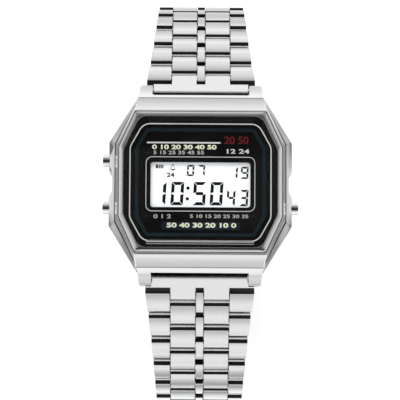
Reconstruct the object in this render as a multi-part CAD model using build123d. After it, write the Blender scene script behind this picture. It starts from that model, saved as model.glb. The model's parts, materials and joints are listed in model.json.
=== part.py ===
from build123d import *
import math
import os

# Digital wrist watch on a folded-link steel bracelet, closed as it is when worn.
# Millimetres, dial up. The origin is the centre of the case back's outer face,
# +Z leaves the dial, +Y runs to twelve o'clock and +X to three o'clock.

# Fits that several pieces share
overrun = 2.0
running_gap = 0.05
seat_gap = 0.02
press_gap = 0.08

# Case: an octagon with two broad lugs that slope away at twelve and six o'clock
case_side_shelf = 1.8
case_end_shelf = 2.8
case_flank = 15.2
case_shoulder_width = 23.2
case_underside = 0.3
girdle_height = 4.2
facet_height = 5.6
facet_inset = 1.05
shoulder_height = 7.1

# Lug block, seen along X: a flat top, then two bands that slope to the tip
lug_length = 36.8
lug_root_width = 23.6
lug_tip_width = 22.0
lug_band = 2.75
lug_break_height = 5.5
lug_tip_height = 3.6
lug_tip_chamfer = 0.4
lug_corner_radius = 0.6
band_groove_width = 0.26
band_groove_depth = 0.14
lug_toe_height = 0.7
lug_toe_chamfer = 0.7
lug_gap_width = 17.6

# Side scallops between the buttons
scallop_depth = 0.6
scallop_floor = 2.8
scallop_mouth = 4.9

# Bezel, crystal and face
bezel_wall = 1.0
bezel_flank_growth = 1.1
bezel_end_growth = 1.74
bezel_thickness = 0.5
bezel_bevel = 0.16
bezel_step = 0.22
crystal_width = 27.6
crystal_flank = 11.9
crystal_end_width = 21.96
crystal_length = 23.8
crystal_corner = 1.9
crystal_edge = 0.4
crystal_top = 8.2
crystal_flat_width = 25.5
crystal_flat_flank = 11.2
crystal_flat_end_width = 20.4
crystal_flat_length = 21.2
crystal_bezel_gap = 0.12
gasket_thickness = 0.3
gasket_height = 0.3
face_thickness = 0.3
face_seat_height = 6.75
face_slip = 0.05
window_width = 18.0
window_length = 8.2
window_offset = -0.45
window_corner = 0.5

# Case back, its seal and its screws
back_thickness = 0.8
back_width = 29.8
back_flank = 14.4
back_end_width = 22.4
back_length = 29.8
back_play = 0.06
seal_inset = 0.15
seal_width = 0.5
seal_height = 0.45
seal_groove_depth = 0.5
screw_x = 12.0
screw_y = 10.6
screw_radius = 0.5
screw_length = 2.6
screw_head_radius = 0.95
screw_head_height = 0.4
screw_slot_width = 0.25
screw_slot_depth = 0.15

# Module space inside the case
cavity_width = 25.8
cavity_flank = 12.0
cavity_end_width = 18.8
cavity_length = 26.4
cavity_roof = 5.6
throat_width = 25.8
throat_flank = 11.2
throat_end_width = 20.6
throat_length = 22.4

# Module: from the back, the sounder, the clamp, the cell, the board, the display
sounder_radius = 4.5
sounder_thickness = 0.2
clamp_bottom = 1.08
clamp_thickness = 0.15
clamp_window_radius = 5.5
clamp_arm = 0.9
cell_bottom = 1.25
cell_radius = 10.0
cell_thickness = 1.6
cell_can_radius = 8.6
cell_cap_height = 0.25
board_gap = 0.1
board_thickness = 0.5
board_margin = 0.15
chip_size = 5.0
chip_height = 0.6
chip_crystal_length = 5.2
chip_crystal_width = 1.6
chip_small_size = 1.8
chip_offset = 4.6
display_width = 20.8
display_length = 11.4
display_bottom = 5.0
display_glass = 0.6
display_film = 0.1
display_ledge = 1.3
strip_width = 0.9
strip_length = 17.0
strip_inset = 0.5
lamp_width = 1.4
lamp_length = 2.4
lamp_height = 1.0
module_play = 0.15
frame_top_gap = 0.05

# Buttons: a stepped plunger, its spring, its seal and its clip
button_y = 4.3
button_z = 3.1
button_head_radius = 1.2
button_reach = 1.15
button_travel = 0.6
button_head_depth = 1.3
button_dome = 0.12
button_stem_radius = 0.55
button_stem_reach = 0.6
ring_thickness = 0.45
ring_outer_radius = 1.0
clip_radius = 0.95
clip_thickness = 0.2
clip_groove = 0.1
spring_wire_radius = 0.12
spring_radius = 0.85
spring_turns = 3
switch_pocket_depth = 2.1
switch_pocket_width = 3.2
switch_pocket_height = 2.2
switch_leaf = 0.12
switch_clearance = 0.2
switch_width = 2.2
switch_height = 1.6

# Spring bars in the lugs
bar_setback = 1.05
bar_wall_gap = 1.0
bar_z = 2.1
bar_radius = 0.75
bar_tip_radius = 0.4
bar_tip_length = 0.8
bar_end_gap = 0.2
bar_tube_wall = 0.5
bar_relief = 0.35

# Bracelet: every link is two outer plates and a slim centre plate, pinned to two
# inner plates that lie half a pitch further on
link_pitch = 5.25
link_thickness = 2.4
link_gap = 1.1
centre_gap = 0.7
link_top_radius = 0.35
link_under_radius = 0.55
link_crown = 0.1
centre_width = 1.36
inner_width = 4.5
column_gap = 0.13
bracelet_width = 16.0
bracelet_root_width = 20.0
taper_pitches = 6
pin_radius = 0.45
pin_inset = 0.12
rod_radius = 0.3
rod_rise = 0.35
rod_inset = 0.15
end_link_reach = 2.15
first_pivot_z = 0.3
end_link_slope_deg = 35.0
link_slopes_deg = [37.0, 38.5, 45.0, 55.0, 67.0, 82.0, 97.0, 113.0, 129.0, 145.0, 160.0]

# End link: a broad bar between the lugs that narrows to two prongs
end_bar_play = 0.15
end_bar_lip_gap = 0.4
end_bar_drop = 0.25
end_round = 0.25

# Folding clasp: a channelled cover over two leaves
clasp_radius = 75.0
cover_rise = 1.5
cover_thickness = 0.8
cover_wall = 0.75
cover_play = 0.15
cover_depth = 1.1
cover_end_reach = 1.0
hinge_inset = 1.5
hinge_pin_radius = 0.35
hinge_knuckle_radius = 0.65
hinge_lap = 0.85
leaf_thickness = 0.7
middle_leaf_rise = 0.25
middle_leaf_play = 0.55
inner_leaf_rise = -0.9
inner_leaf_play = 0.15
ear_wall = 0.7
ear_reach = 1.4
fold_hinge_y = 5.0
tongue_play = 0.15
tongue_start = 0.9
tube_radius = 0.85
tube_tip = 0.06
catch_length = 3.0
catch_width = 5.0
catch_height = 0.3
cover_hole_count = 4
cover_hole_pitch = 2.4

# Places that follow from the sizes above
bezel_width = crystal_width + bezel_wall * 2
bezel_length = crystal_length + bezel_wall * 2
bezel_flank = crystal_flank + bezel_flank_growth
bezel_end_width = crystal_end_width + bezel_end_growth
case_width = bezel_width + case_side_shelf * 2
case_shoulder_length = bezel_length + case_end_shelf * 2
lug_break_length = lug_length - lug_band * 2
bar_y = lug_length / 2 - bar_setback
lug_gap_wall = bar_y - bar_wall_gap
first_pivot_y = bar_y + end_link_reach
quarter_pitch = link_pitch / 4
half_gap = link_gap / 2
centre_edge = centre_width / 2
inner_start = centre_edge + column_gap
inner_edge = inner_start + inner_width
outer_start = inner_edge + column_gap
face_top = face_seat_height + face_thickness
bezel_top = shoulder_height + bezel_thickness
cavity_wall = cavity_width / 2
case_side = case_width / 2
cell_top = cell_bottom + cell_thickness
board_bottom = cell_top + board_gap
board_top = board_bottom + board_thickness
board_size = cell_radius + board_margin
display_top = display_bottom + display_glass + display_glass
frame_top = face_seat_height - frame_top_gap
spring_stack = spring_wire_radius * (spring_turns * 2 + 1)
chamber_depth = button_head_depth + button_travel + spring_stack + ring_thickness
switch_reach = switch_pocket_depth - button_stem_reach - button_travel - switch_clearance


def octagon(width, flank, end_width, length):
    """Long octagon in XY: width across X, length across Y, flank and end widths its straight sides."""
    side, end, flat, corner = width / 2, length / 2, flank / 2, end_width / 2
    return Polygon(
        (side, -flat), (side, flat), (corner, end), (-corner, end),
        (-side, flat), (-side, -flat), (-corner, -end), (corner, -end),
        align=None,
    )


def grown(outline, amount):
    """The same outline moved outwards by amount, with its corners kept sharp."""
    return offset(outline, amount=amount, kind=Kind.INTERSECTION)


def prism(outline, bottom, top):
    """An outline in XY raised from bottom to top."""
    return extrude(Pos(0, 0, bottom) * outline, amount=top - bottom)


def taper(lower, bottom, upper, top):
    """Straight-sided body between two outlines of XY at two heights."""
    return loft([Pos(0, 0, bottom) * lower, Pos(0, 0, top) * upper], ruled=True)


def block(width, length, bottom, top, x=0, y=0):
    """Rectangular body about x, y from bottom to top."""
    return Pos(x, y, (bottom + top) / 2) * Box(width, length, top - bottom)


def across(profile, start, end):
    """A profile drawn in Y and Z, run along X from start to end."""
    return Pos(start, 0, 0) * extrude(Plane.YZ * profile, amount=end - start)


def rod(radius, start, end, y, z):
    """Round bar along X."""
    return Pos((start + end) / 2, y, z) * Rot(0, 90, 0) * Cylinder(radius, end - start)


def mirrored(shape):
    """The shape turned half round the dial's centre line."""
    return Rot(0, 0, 180) * shape


def lug_surface(y):
    """Height of the outer lug band at y."""
    return lug_break_height - (lug_break_height - lug_tip_height) * (y - lug_break_length / 2) / lug_band


def case_outline():
    return octagon(case_width, case_flank, case_shoulder_width, case_shoulder_length)


def bezel_outline():
    return octagon(bezel_width, bezel_flank, bezel_end_width, bezel_length)


def crystal_outline():
    outline = octagon(crystal_width, crystal_flank, crystal_end_width, crystal_length)
    return fillet(outline.vertices(), crystal_corner)


def cavity_outline():
    return octagon(cavity_width, cavity_flank, cavity_end_width, cavity_length)


def back_outline():
    return octagon(back_width, back_flank, back_end_width, back_length)


def throat_outline():
    return octagon(throat_width, throat_flank, throat_end_width, throat_length)


def lug_block():
    """The lugs' block across the case, before the gap for the bracelet is cut."""
    tip, brk, root = lug_length / 2, lug_break_length / 2, bezel_length / 2 + bezel_step
    above, below = brk - band_groove_width / 2, brk + band_groove_width / 2
    rise = (shoulder_height - lug_break_height) / (brk - root)
    side = [
        (tip - lug_toe_chamfer, lug_toe_height),
        (tip, lug_toe_height + lug_toe_chamfer),
        (tip, lug_tip_height - lug_tip_chamfer),
        (tip - lug_tip_chamfer, lug_surface(tip - lug_tip_chamfer)),
        (below, lug_surface(below)),
        (brk, lug_break_height - band_groove_depth),
        (above, lug_break_height + rise * (brk - above)),
        (root, shoulder_height),
    ]
    other = [(-y, z) for y, z in reversed(side)]
    foot = [(-brk, case_underside), (brk, case_underside)]
    profile = Polygon(*(side + other + foot), align=None)
    plan = Polygon(
        (lug_root_width / 2, root), (lug_tip_width / 2, tip), (-lug_tip_width / 2, tip),
        (-lug_root_width / 2, root), (-lug_root_width / 2, -root), (-lug_tip_width / 2, -tip),
        (lug_tip_width / 2, -tip), (lug_root_width / 2, -root),
        align=None,
    )
    tips = [corner for corner in plan.vertices() if abs(corner.Y) > brk]
    return across(profile, -case_side, case_side) & prism(fillet(tips, lug_corner_radius), 0, crystal_top)


def case_body():
    facet = octagon(
        case_width - facet_inset * 2,
        (case_flank + bezel_flank) / 2,
        (case_shoulder_width + bezel_end_width) / 2,
        case_shoulder_length - facet_inset * 2,
    )
    top = grown(bezel_outline(), bezel_step)
    body = prism(case_outline(), case_underside, girdle_height)
    body += taper(case_outline(), girdle_height, facet, facet_height)
    body += taper(facet, facet_height, top, shoulder_height)
    body += lug_block()
    body -= prism(grown(back_outline(), back_play), 0, back_thickness)
    body -= prism(cavity_outline(), 0, cavity_roof)
    body -= prism(throat_outline(), cavity_roof, crystal_top)
    body -= prism(grown(crystal_outline(), gasket_thickness + face_slip), face_seat_height, crystal_top)
    body -= seal_ring(seal_groove_depth)
    scallop_x = case_side - scallop_depth
    out_x = case_side + overrun
    reach = scallop_mouth + (scallop_mouth - scallop_floor) * overrun / scallop_depth
    floor = scallop_floor / 2
    scallop = Polygon(
        (scallop_x, -floor), (out_x, -reach / 2), (out_x, reach / 2), (scallop_x, floor),
        align=None,
    )
    for turn in (0, 180):
        body -= Rot(0, 0, turn) * prism(scallop, 0, crystal_top)
        body -= Rot(0, 0, turn) * lug_gap()
    for x, y in screw_places():
        body -= Pos(x, y, screw_length / 2) * Cylinder(screw_radius + seat_gap, screw_length + overrun)
    for side, y in button_places().values():
        body -= button_bore(side, y)
    return body


def lug_gap():
    """What is cut from between two lugs: a slot, a round relief and the spring bar's holes."""
    slot = across(
        Polygon(
            (lug_gap_wall, 0), (lug_length, 0), (lug_length, crystal_top), (lug_gap_wall, crystal_top),
            align=None,
        ),
        -lug_gap_width / 2, lug_gap_width / 2,
    )
    relief_radius = bar_radius + bar_tube_wall + bar_relief
    relief = rod(relief_radius, -lug_gap_width / 2, lug_gap_width / 2, bar_y, bar_z)
    reach = lug_gap_width / 2 + bar_tip_length + bar_end_gap
    return slot + relief + rod(bar_tip_radius + seat_gap, -reach, reach, bar_y, bar_z)


def bezel():
    opening = grown(crystal_outline(), crystal_bezel_gap)
    ring = prism(bezel_outline(), shoulder_height, bezel_top - bezel_bevel)
    ring += taper(
        bezel_outline(), bezel_top - bezel_bevel, grown(bezel_outline(), -bezel_bevel), bezel_top
    )
    return ring - prism(opening, 0, crystal_top)


def crystal():
    flat = octagon(crystal_flat_width, crystal_flat_flank, crystal_flat_end_width, crystal_flat_length)
    flat = fillet(flat.vertices(), crystal_corner)
    edge_top = face_top + crystal_edge
    glass = prism(crystal_outline(), face_top, edge_top)
    return glass + taper(crystal_outline(), edge_top, flat, crystal_top)


def crystal_gasket():
    outer = grown(crystal_outline(), gasket_thickness + face_slip - seat_gap)
    inner = grown(crystal_outline(), seat_gap)
    bottom = shoulder_height - gasket_height
    return prism(outer, bottom, shoulder_height) - prism(inner, 0, crystal_top)


def face_plate():
    plate = prism(grown(crystal_outline(), -face_slip), face_seat_height, face_top)
    window = Pos(0, window_offset) * RectangleRounded(window_width, window_length, window_corner)
    return plate - prism(window, 0, crystal_top)


def seal_ring(height):
    outer = grown(cavity_outline(), seal_inset + seal_width)
    inner = grown(cavity_outline(), seal_inset)
    ring = prism(outer, back_thickness, back_thickness + height)
    return ring - prism(inner, 0, crystal_top)


def back_gasket():
    return seal_ring(seal_height)


def screw_places():
    return [(x, y) for x in (-screw_x, screw_x) for y in (-screw_y, screw_y)]


def case_back():
    plate = prism(back_outline(), 0, back_thickness)
    for x, y in screw_places():
        plate -= Pos(x, y, 0) * Cylinder(screw_radius + running_gap, back_thickness * 2 + overrun)
        plate -= Pos(x, y, 0) * Cylinder(screw_head_radius + running_gap, screw_head_height * 2)
    return plate


def back_screws():
    head = prism(Circle(screw_head_radius), 0, screw_head_height)
    shank = prism(Circle(screw_radius), screw_head_height, screw_length)
    arm = screw_head_radius * 2
    slot = block(arm, screw_slot_width, 0, screw_slot_depth)
    slot += block(screw_slot_width, arm, 0, screw_slot_depth)
    screw = head + shank - slot
    return [Pos(x, y, 0) * screw for x, y in screw_places()]


def spring_bar():
    half = lug_gap_width / 2 - bar_end_gap
    tip = lug_gap_width / 2 + bar_tip_length
    return rod(bar_radius, -half, half, bar_y, bar_z) + rod(bar_tip_radius, -tip, tip, bar_y, bar_z)


def button_places():
    """Each button's side of the case and its place along Y."""
    return {"light": (-1, button_y), "mode": (-1, -button_y), "start": (1, -button_y)}


def at_button(side, y, shape):
    """Puts a shape drawn along +X from the case's right flank at one button."""
    turned = Rot(0, 0, 0 if side > 0 else 180) * shape
    return Pos(0, y, button_z) * turned


def button_bore(side, y):
    chamber = rod(button_head_radius + press_gap, case_side - chamber_depth, case_side + overrun, 0, 0)
    hole = rod(button_stem_radius + running_gap, cavity_wall - overrun, case_side, 0, 0)
    return at_button(side, y, chamber + hole)


def button_plunger(side, y):
    """Head, stem and retaining clip; the clip is a separate ring in the stem's groove."""
    outer = case_side + button_reach
    inner = case_side - button_head_depth
    end = cavity_wall - button_stem_reach
    head = rod(button_head_radius, inner, outer - button_dome, 0, 0)
    cap = rod(button_head_radius - button_dome, outer - button_dome, outer, 0, 0)
    stem = rod(button_stem_radius, end, inner, 0, 0)
    clip_end = cavity_wall - running_gap
    clip_start = clip_end - clip_thickness
    neck = button_stem_radius - clip_groove
    groove = rod(button_stem_radius + clip_groove, clip_start, clip_end, 0, 0)
    groove -= rod(neck, clip_start, clip_end, 0, 0)
    clip = rod(clip_radius, clip_start, clip_end, 0, 0) - rod(neck, clip_start, clip_end, 0, 0)
    mouth = Pos(clip_end, 0, -clip_radius / 2) * Box(clip_radius * 2, neck, clip_radius)
    plunger = head + cap + stem - groove
    return [at_button(side, y, plunger), at_button(side, y, clip - mouth)]


def button_seal(side, y):
    start = case_side - chamber_depth
    ring = rod(ring_outer_radius, start, start + ring_thickness, 0, 0)
    ring -= rod(button_stem_radius + running_gap, start, start + ring_thickness, 0, 0)
    return at_button(side, y, ring)


def button_spring(side, y):
    """Coil between the seal and the head's shoulder."""
    start = case_side - chamber_depth + ring_thickness + spring_wire_radius + seat_gap
    end = case_side - button_head_depth - spring_wire_radius - seat_gap
    path = Helix(pitch=(end - start) / spring_turns, height=end - start, radius=spring_radius)
    wire = Plane(origin=path @ 0, z_dir=path % 0) * Circle(spring_wire_radius)
    coil = sweep(wire, path=path)
    return at_button(side, y, Pos(start, 0, 0) * Rot(0, 90, 0) * coil)


def module_frame():
    """Moulded carrier: a pocket for the cell and board below, one for the display above."""
    outer = grown(cavity_outline(), -module_play)
    neck = grown(throat_outline(), -module_play)
    body = prism(outer, cell_bottom, cavity_roof - module_play)
    body += prism(neck, cavity_roof - overrun, frame_top)
    pocket = board_size * 2 + module_play
    body -= block(pocket, pocket, 0, board_top)
    width, length = display_width + module_play, display_length + module_play
    body -= block(width, length, display_bottom, crystal_top, y=window_offset)
    width, length = display_width - display_ledge * 2, display_length - display_ledge * 2
    body -= block(width, length, 0, crystal_top, y=window_offset)
    for y in strip_places():
        body -= block(strip_length + module_play, strip_width + module_play, 0, crystal_top, y=y)
    width, length = lamp_width + module_play, lamp_length + module_play
    body -= block(width, length, lamp_bottom(), crystal_top, x=lamp_x())
    pocket_x = cavity_wall - switch_pocket_depth / 2
    low = button_z - switch_pocket_height / 2
    high = button_z + switch_pocket_height / 2
    for side, y in button_places().values():
        body -= block(switch_pocket_depth, switch_pocket_width, low, high, x=side * pocket_x, y=y)
    return body


def strip_places():
    reach = display_length / 2 - strip_inset - strip_width / 2
    return (window_offset - reach, window_offset + reach)


def contact_strips():
    return [block(strip_length, strip_width, board_top, display_bottom, y=y) for y in strip_places()]


def lamp_x():
    return -(display_width + lamp_width) / 2 - module_play


def lamp_bottom():
    return display_top - lamp_height


def led_lamp():
    return block(lamp_width, lamp_length, lamp_bottom(), display_top, x=lamp_x())


def lcd_panel():
    """Two panes, the lower one longer, with a film on each side."""
    middle = display_bottom + display_glass
    narrow = display_length - strip_width * 2
    lower = block(display_width, display_length, display_bottom, middle, y=window_offset)
    upper = block(display_width, narrow, middle, display_top - display_film, y=window_offset)
    inner = display_width - display_film * 2
    film = block(inner, narrow - display_film * 2, display_top - display_film, display_top, y=window_offset)
    return [lower, upper, film]


def circuit_board():
    return block(board_size * 2, board_size * 2, board_bottom, board_top)


def circuit_chips():
    top = board_top + chip_height
    return [
        block(chip_size, chip_size, board_top, top, y=window_offset),
        block(chip_crystal_length, chip_crystal_width, board_top, top, x=chip_offset, y=window_offset),
        block(chip_small_size, chip_small_size, board_top, top, x=-chip_offset, y=window_offset),
    ]


def battery_cell():
    can = prism(Circle(cell_radius), cell_bottom + cell_cap_height, cell_top)
    cap = prism(Circle(cell_can_radius), cell_bottom, cell_bottom + cell_cap_height)
    return can + cap


def battery_clamp():
    plate = block(board_size * 2, board_size * 2, clamp_bottom, clamp_bottom + clamp_thickness)
    plate -= prism(Circle(clamp_window_radius), 0, cell_top)
    corner = board_size - clamp_arm / 2
    for x in (-corner, corner):
        for y in (-corner, corner):
            plate += block(clamp_arm, clamp_arm, clamp_bottom, board_bottom, x=x, y=y)
    return plate


def switch_springs():
    """One bent leaf for each button, on the floor of its pocket in the carrier."""
    leaves = []
    floor_x = cavity_wall - switch_pocket_depth
    tip_x = floor_x + switch_reach
    low, high = -switch_height / 2, switch_height / 2
    profile = Polygon(
        (floor_x, low), (floor_x + switch_leaf, low), (tip_x, high), (tip_x - switch_leaf, high),
        (floor_x + switch_leaf, low + switch_leaf * 2), (floor_x + switch_leaf, high), (floor_x, high),
        align=None,
    )
    leaf = Pos(0, switch_width / 2, 0) * extrude(Plane.XZ * profile, amount=switch_width)
    for side, y in button_places().values():
        leaves.append(at_button(side, y, leaf))
    return leaves


def piezo_disc():
    return prism(Circle(sounder_radius), back_thickness, back_thickness + sounder_thickness)


def taper_half_width(place):
    """Half the bracelet's width, place pitches along from its first gap."""
    share = max(0, 1 - place / taper_pitches)
    return (bracelet_width + (bracelet_root_width - bracelet_width) * share ** 2) / 2


def link_profile(length, holes):
    """Side view of one plate about its middle: a crowned top, round corners and its pin holes."""
    end, top, low = length / 2, link_thickness / 2 - link_crown, -link_thickness / 2
    over, under = link_top_radius, link_under_radius
    edges = [
        CenterArc((-end + under, low + under), under, 180, 90),
        Line((-end + under, low), (end - under, low)),
        CenterArc((end - under, low + under), under, 270, 90),
        Line((end, low + under), (end, top - over)),
        CenterArc((end - over, top - over), over, 0, 90),
        ThreePointArc((end - over, top), (0, top + link_crown), (-end + over, top)),
        CenterArc((-end + over, top - over), over, 90, 90),
        Line((-end, top - over), (-end, low + under)),
    ]
    face = make_face(edges)
    for along, rise, radius in holes:
        face -= Pos(along, rise) * Circle(radius)
    return face


def plate_between(profile, middle, start, end):
    """One plate of a link from start to end along X, its middle that far along the link."""
    return Pos(0, middle, 0) * across(profile, start, end)


def outer_plate(profile, number):
    """Right outer plate of link number, with the bracelet's taper on its outer side."""
    near, far = taper_half_width(number - 1), taper_half_width(number)
    plate = plate_between(profile, quarter_pitch, outer_start, max(near, far))
    back, front = -quarter_pitch, quarter_pitch * 3
    plan = Polygon(
        (0, back), (near, back), (far, front), (0, front),
        align=None,
    )
    return plate & prism(plan, -link_thickness, link_thickness)


def bracelet_link(number, last_upper=False, last_lower=False):
    """All solids of one link about its own pivot, +Y along the link and +Z outwards."""
    pivot_hole = (-quarter_pitch, 0, pin_radius + running_gap)
    fixed_hole = (quarter_pitch, 0, pin_radius + seat_gap)
    rod_hole = (0, rod_rise, rod_radius + seat_gap)
    outer_profile = link_profile(link_pitch - link_gap, [pivot_hole, fixed_hole, rod_hole])
    outer = outer_plate(outer_profile, number)
    rod_reach = taper_half_width(number) - rod_inset
    solids = [outer, mirror(outer, about=Plane.YZ)]
    solids.append(rod(rod_radius, -rod_reach, rod_reach, quarter_pitch, rod_rise))
    if last_lower:
        return solids
    centre_profile = link_profile(link_pitch - centre_gap, [pivot_hole, fixed_hole, rod_hole])
    solids.append(plate_between(centre_profile, quarter_pitch, -centre_edge, centre_edge))
    next_gap = running_gap if last_upper else seat_gap
    next_hole = (quarter_pitch, 0, pin_radius + next_gap)
    inner_holes = [(-quarter_pitch, 0, pin_radius + seat_gap), next_hole, rod_hole]
    inner_profile = link_profile(link_pitch - link_gap, inner_holes)
    inner_middle = quarter_pitch * 3
    inner = plate_between(inner_profile, inner_middle, inner_start, inner_edge)
    short = rod(rod_radius, inner_start, rod_reach, inner_middle, rod_rise)
    solids += [inner, mirror(inner, about=Plane.YZ), short, mirror(short, about=Plane.YZ)]
    pin_reach = taper_half_width(number) - pin_inset
    solids.append(rod(pin_radius, -pin_reach, pin_reach, quarter_pitch * 2, 0))
    if not last_upper:
        solids.append(rod(pin_radius, -pin_reach, pin_reach, quarter_pitch * 4, 0))
    return solids


def chain_pivots():
    """Where each link turns, as Y and Z, from the end link's pin to the clasp."""
    places = [(first_pivot_y, first_pivot_z)]
    for slope in link_slopes_deg:
        y, z = places[-1]
        run, drop = along_slope(slope)
        places.append((y + link_pitch * run, z - link_pitch * drop))
    return places


def along_slope(slope_deg):
    """Share of a length that a slope takes outwards, and the share that it takes down."""
    angle = math.radians(slope_deg)
    return math.cos(angle), math.sin(angle)


def put_link(solids, number):
    """Moves a link's solids to their place on the twelve o'clock side."""
    y, z = chain_pivots()[number - 1]
    slope = link_slopes_deg[number - 1]
    return [Pos(0, y, z) * Rot(-slope, 0, 0) * solid for solid in solids]


def end_link_point(along, rise):
    """A point of the end link's side view, from its pin, in the watch's own Y and Z."""
    run, drop = along_slope(end_link_slope_deg)
    return (first_pivot_y + along * run + rise * drop, first_pivot_z - along * drop + rise * run)


def end_link_profile(front):
    """Side view of the end link, cut square that far beyond its pin."""
    rear_y = lug_gap_wall + end_bar_lip_gap
    rear_top = (rear_y, lug_surface(rear_y) - end_bar_drop)
    tip = quarter_pitch - half_gap
    tip_top = end_link_point(tip, link_thickness / 2)
    share = (tip - front) / (tip - end_link_along(rear_top))
    front_top = (
        tip_top[0] + (rear_top[0] - tip_top[0]) * share,
        tip_top[1] + (rear_top[1] - tip_top[1]) * share,
    )
    front_low = end_link_point(front, -link_thickness / 2)
    knuckle = bar_radius + bar_tube_wall
    run, drop = along_slope(end_link_slope_deg)
    low = (bar_y - knuckle * drop, bar_z - knuckle * run)
    outline = FilletPolyline(
        rear_top, front_top, front_low, low, (bar_y, bar_z), (rear_y, bar_z + bar_radius),
        radius=[end_round, link_top_radius, link_top_radius, end_round, end_round, end_round],
        close=True,
    )
    face = make_face(outline) + Pos(bar_y, bar_z) * Circle(knuckle)
    face -= Pos(bar_y, bar_z) * Circle(bar_radius + running_gap)
    return face - Pos(first_pivot_y, first_pivot_z) * Circle(pin_radius + seat_gap)


def end_link_along(point):
    """How far a point in Y and Z lies along the end link from its pin."""
    run, drop = along_slope(end_link_slope_deg)
    return (point[0] - first_pivot_y) * run - (point[1] - first_pivot_z) * drop


def end_link():
    """The piece between the lugs, with the pin that its first link turns on."""
    half = lug_gap_width / 2 - end_bar_play
    body = across(end_link_profile(-quarter_pitch - half_gap), -half, half)
    prongs = end_link_profile(quarter_pitch - half_gap)
    for start, end in ((-inner_edge, -inner_start), (inner_start, inner_edge)):
        body += across(prongs, start, end)
    reach = taper_half_width(0) - pin_inset - (bracelet_root_width - bracelet_width) / taper_pitches
    return [body, rod(pin_radius, -reach, reach, first_pivot_y, first_pivot_z)]


def arc_point(rise, y):
    """A point on the clasp's curve: rise is how far outside the links' middle line it lies."""
    last_y, last_z = chain_pivots()[-1]
    centre_z = last_z + math.sqrt(clasp_radius ** 2 - last_y ** 2)
    radius = clasp_radius + rise
    return (y, centre_z - math.sqrt(radius ** 2 - y ** 2))


def arc_plate(low_rise, high_rise, start_y, end_y, left, right):
    """Curved plate of the clasp between two heights, two places along Y and two along X."""
    places = (start_y, (start_y + end_y) / 2, end_y)
    inner = ThreePointArc(*[arc_point(low_rise, y) for y in places])
    outer = ThreePointArc(*[arc_point(high_rise, y) for y in reversed(places)])
    sides = [Line(inner @ 1, outer @ 0), Line(outer @ 1, inner @ 0)]
    return across(make_face([inner, sides[0], outer, sides[1]]), left, right)


def cover_hinge():
    """Y and Z of the pin that joins the cover to the middle leaf."""
    return arc_point(middle_leaf_rise + leaf_thickness / 2, hinge_inset - chain_pivots()[-1][0])


def fold_hinge():
    """Y and Z of the pin that joins the two leaves."""
    return arc_point(inner_leaf_rise + leaf_thickness / 2, fold_hinge_y)


def tube_place():
    """Y and Z of the tube that takes the last lower link."""
    y, z = chain_pivots()[-2]
    run, drop = along_slope(link_slopes_deg[-1])
    return (-(y + quarter_pitch * 2 * run), z - quarter_pitch * 2 * drop)


def cover_half():
    return bracelet_width / 2 + cover_play + cover_wall


def clasp_cover():
    half = cover_half()
    wall = half - cover_wall
    end_y, end_z = chain_pivots()[-1]
    hinge_y, hinge_z = cover_hinge()
    top = cover_rise + cover_thickness
    near, far = end_y + cover_end_reach, hinge_y - hinge_lap
    cover = arc_plate(cover_rise, top, hinge_y + hinge_lap, near, -half, half)
    for left, right in ((-half, -wall), (wall, half)):
        cover += arc_plate(-cover_depth, top, far, near, left, right)
    cover -= rod(hinge_pin_radius + seat_gap, -half, half, hinge_y, hinge_z)
    for step in range(cover_hole_count + 1):
        y, z = arc_point(0, end_y - cover_hole_pitch * step)
        cover -= rod(pin_radius + seat_gap, -half, half, y, z)
    return cover


def clasp_catch():
    """Pad riveted inside the cover, which the folded leaves snap down on."""
    half = catch_width / 2
    return arc_plate(cover_rise - catch_height, cover_rise, -catch_length / 2, catch_length / 2, -half, half)


def clasp_hinge_pin():
    y, z = cover_hinge()
    half = cover_half()
    return rod(hinge_pin_radius, -half, half, y, z)


def clasp_end_bar():
    y, z = chain_pivots()[-1]
    half = cover_half() - pin_inset
    return rod(pin_radius, -half, half, y, z)


def clasp_middle_leaf():
    half = bracelet_width / 2 - middle_leaf_play + cover_play
    hinge_y, hinge_z = cover_hinge()
    fold_y, fold_z = fold_hinge()
    top = middle_leaf_rise + leaf_thickness
    leaf = arc_plate(middle_leaf_rise, top, hinge_y, fold_y + hinge_knuckle_radius, -half, half)
    leaf += rod(hinge_knuckle_radius, -half, half, hinge_y, hinge_z)
    for left, right in ((-half, ear_wall - half), (half - ear_wall, half)):
        leaf += arc_plate(fold_rise(), top, fold_y - ear_reach, fold_y + hinge_knuckle_radius, left, right)
        leaf += rod(hinge_knuckle_radius, left, right, fold_y, fold_z)
    leaf -= rod(hinge_pin_radius + running_gap, -half, half, hinge_y, hinge_z)
    return leaf - rod(hinge_pin_radius + seat_gap, -half, half, fold_y, fold_z)


def fold_rise():
    """Height of the leaves' shared hinge on the clasp's curve."""
    return inner_leaf_rise + leaf_thickness / 2


def inner_half():
    """Half the inner leaf's width, between the middle leaf's ears."""
    return bracelet_width / 2 - middle_leaf_play + cover_play - ear_wall - inner_leaf_play


def clasp_fold_pin():
    y, z = fold_hinge()
    half = inner_half() + inner_leaf_play + ear_wall
    return rod(hinge_pin_radius, -half, half, y, z)


def clasp_inner_leaf():
    half = inner_half()
    fold_y, fold_z = fold_hinge()
    hinge_y, hinge_z = cover_hinge()
    tube_y, tube_z = tube_place()
    tongue = outer_start - tongue_play
    top = inner_leaf_rise + leaf_thickness
    leaf = arc_plate(inner_leaf_rise, top, hinge_y + tongue_start, fold_y, -half, half)
    leaf += rod(hinge_knuckle_radius, -half, half, fold_y, fold_z)
    leaf += arc_plate(inner_leaf_rise, top, tube_y, hinge_y + tongue_start, -tongue, tongue)
    leaf += rod(tube_radius, -tongue, tongue, tube_y, tube_z)
    leaf -= rod(hinge_pin_radius + running_gap, -half, half, fold_y, fold_z)
    return leaf - rod(pin_radius + seat_gap, -half, half, tube_y, tube_z)


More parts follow.
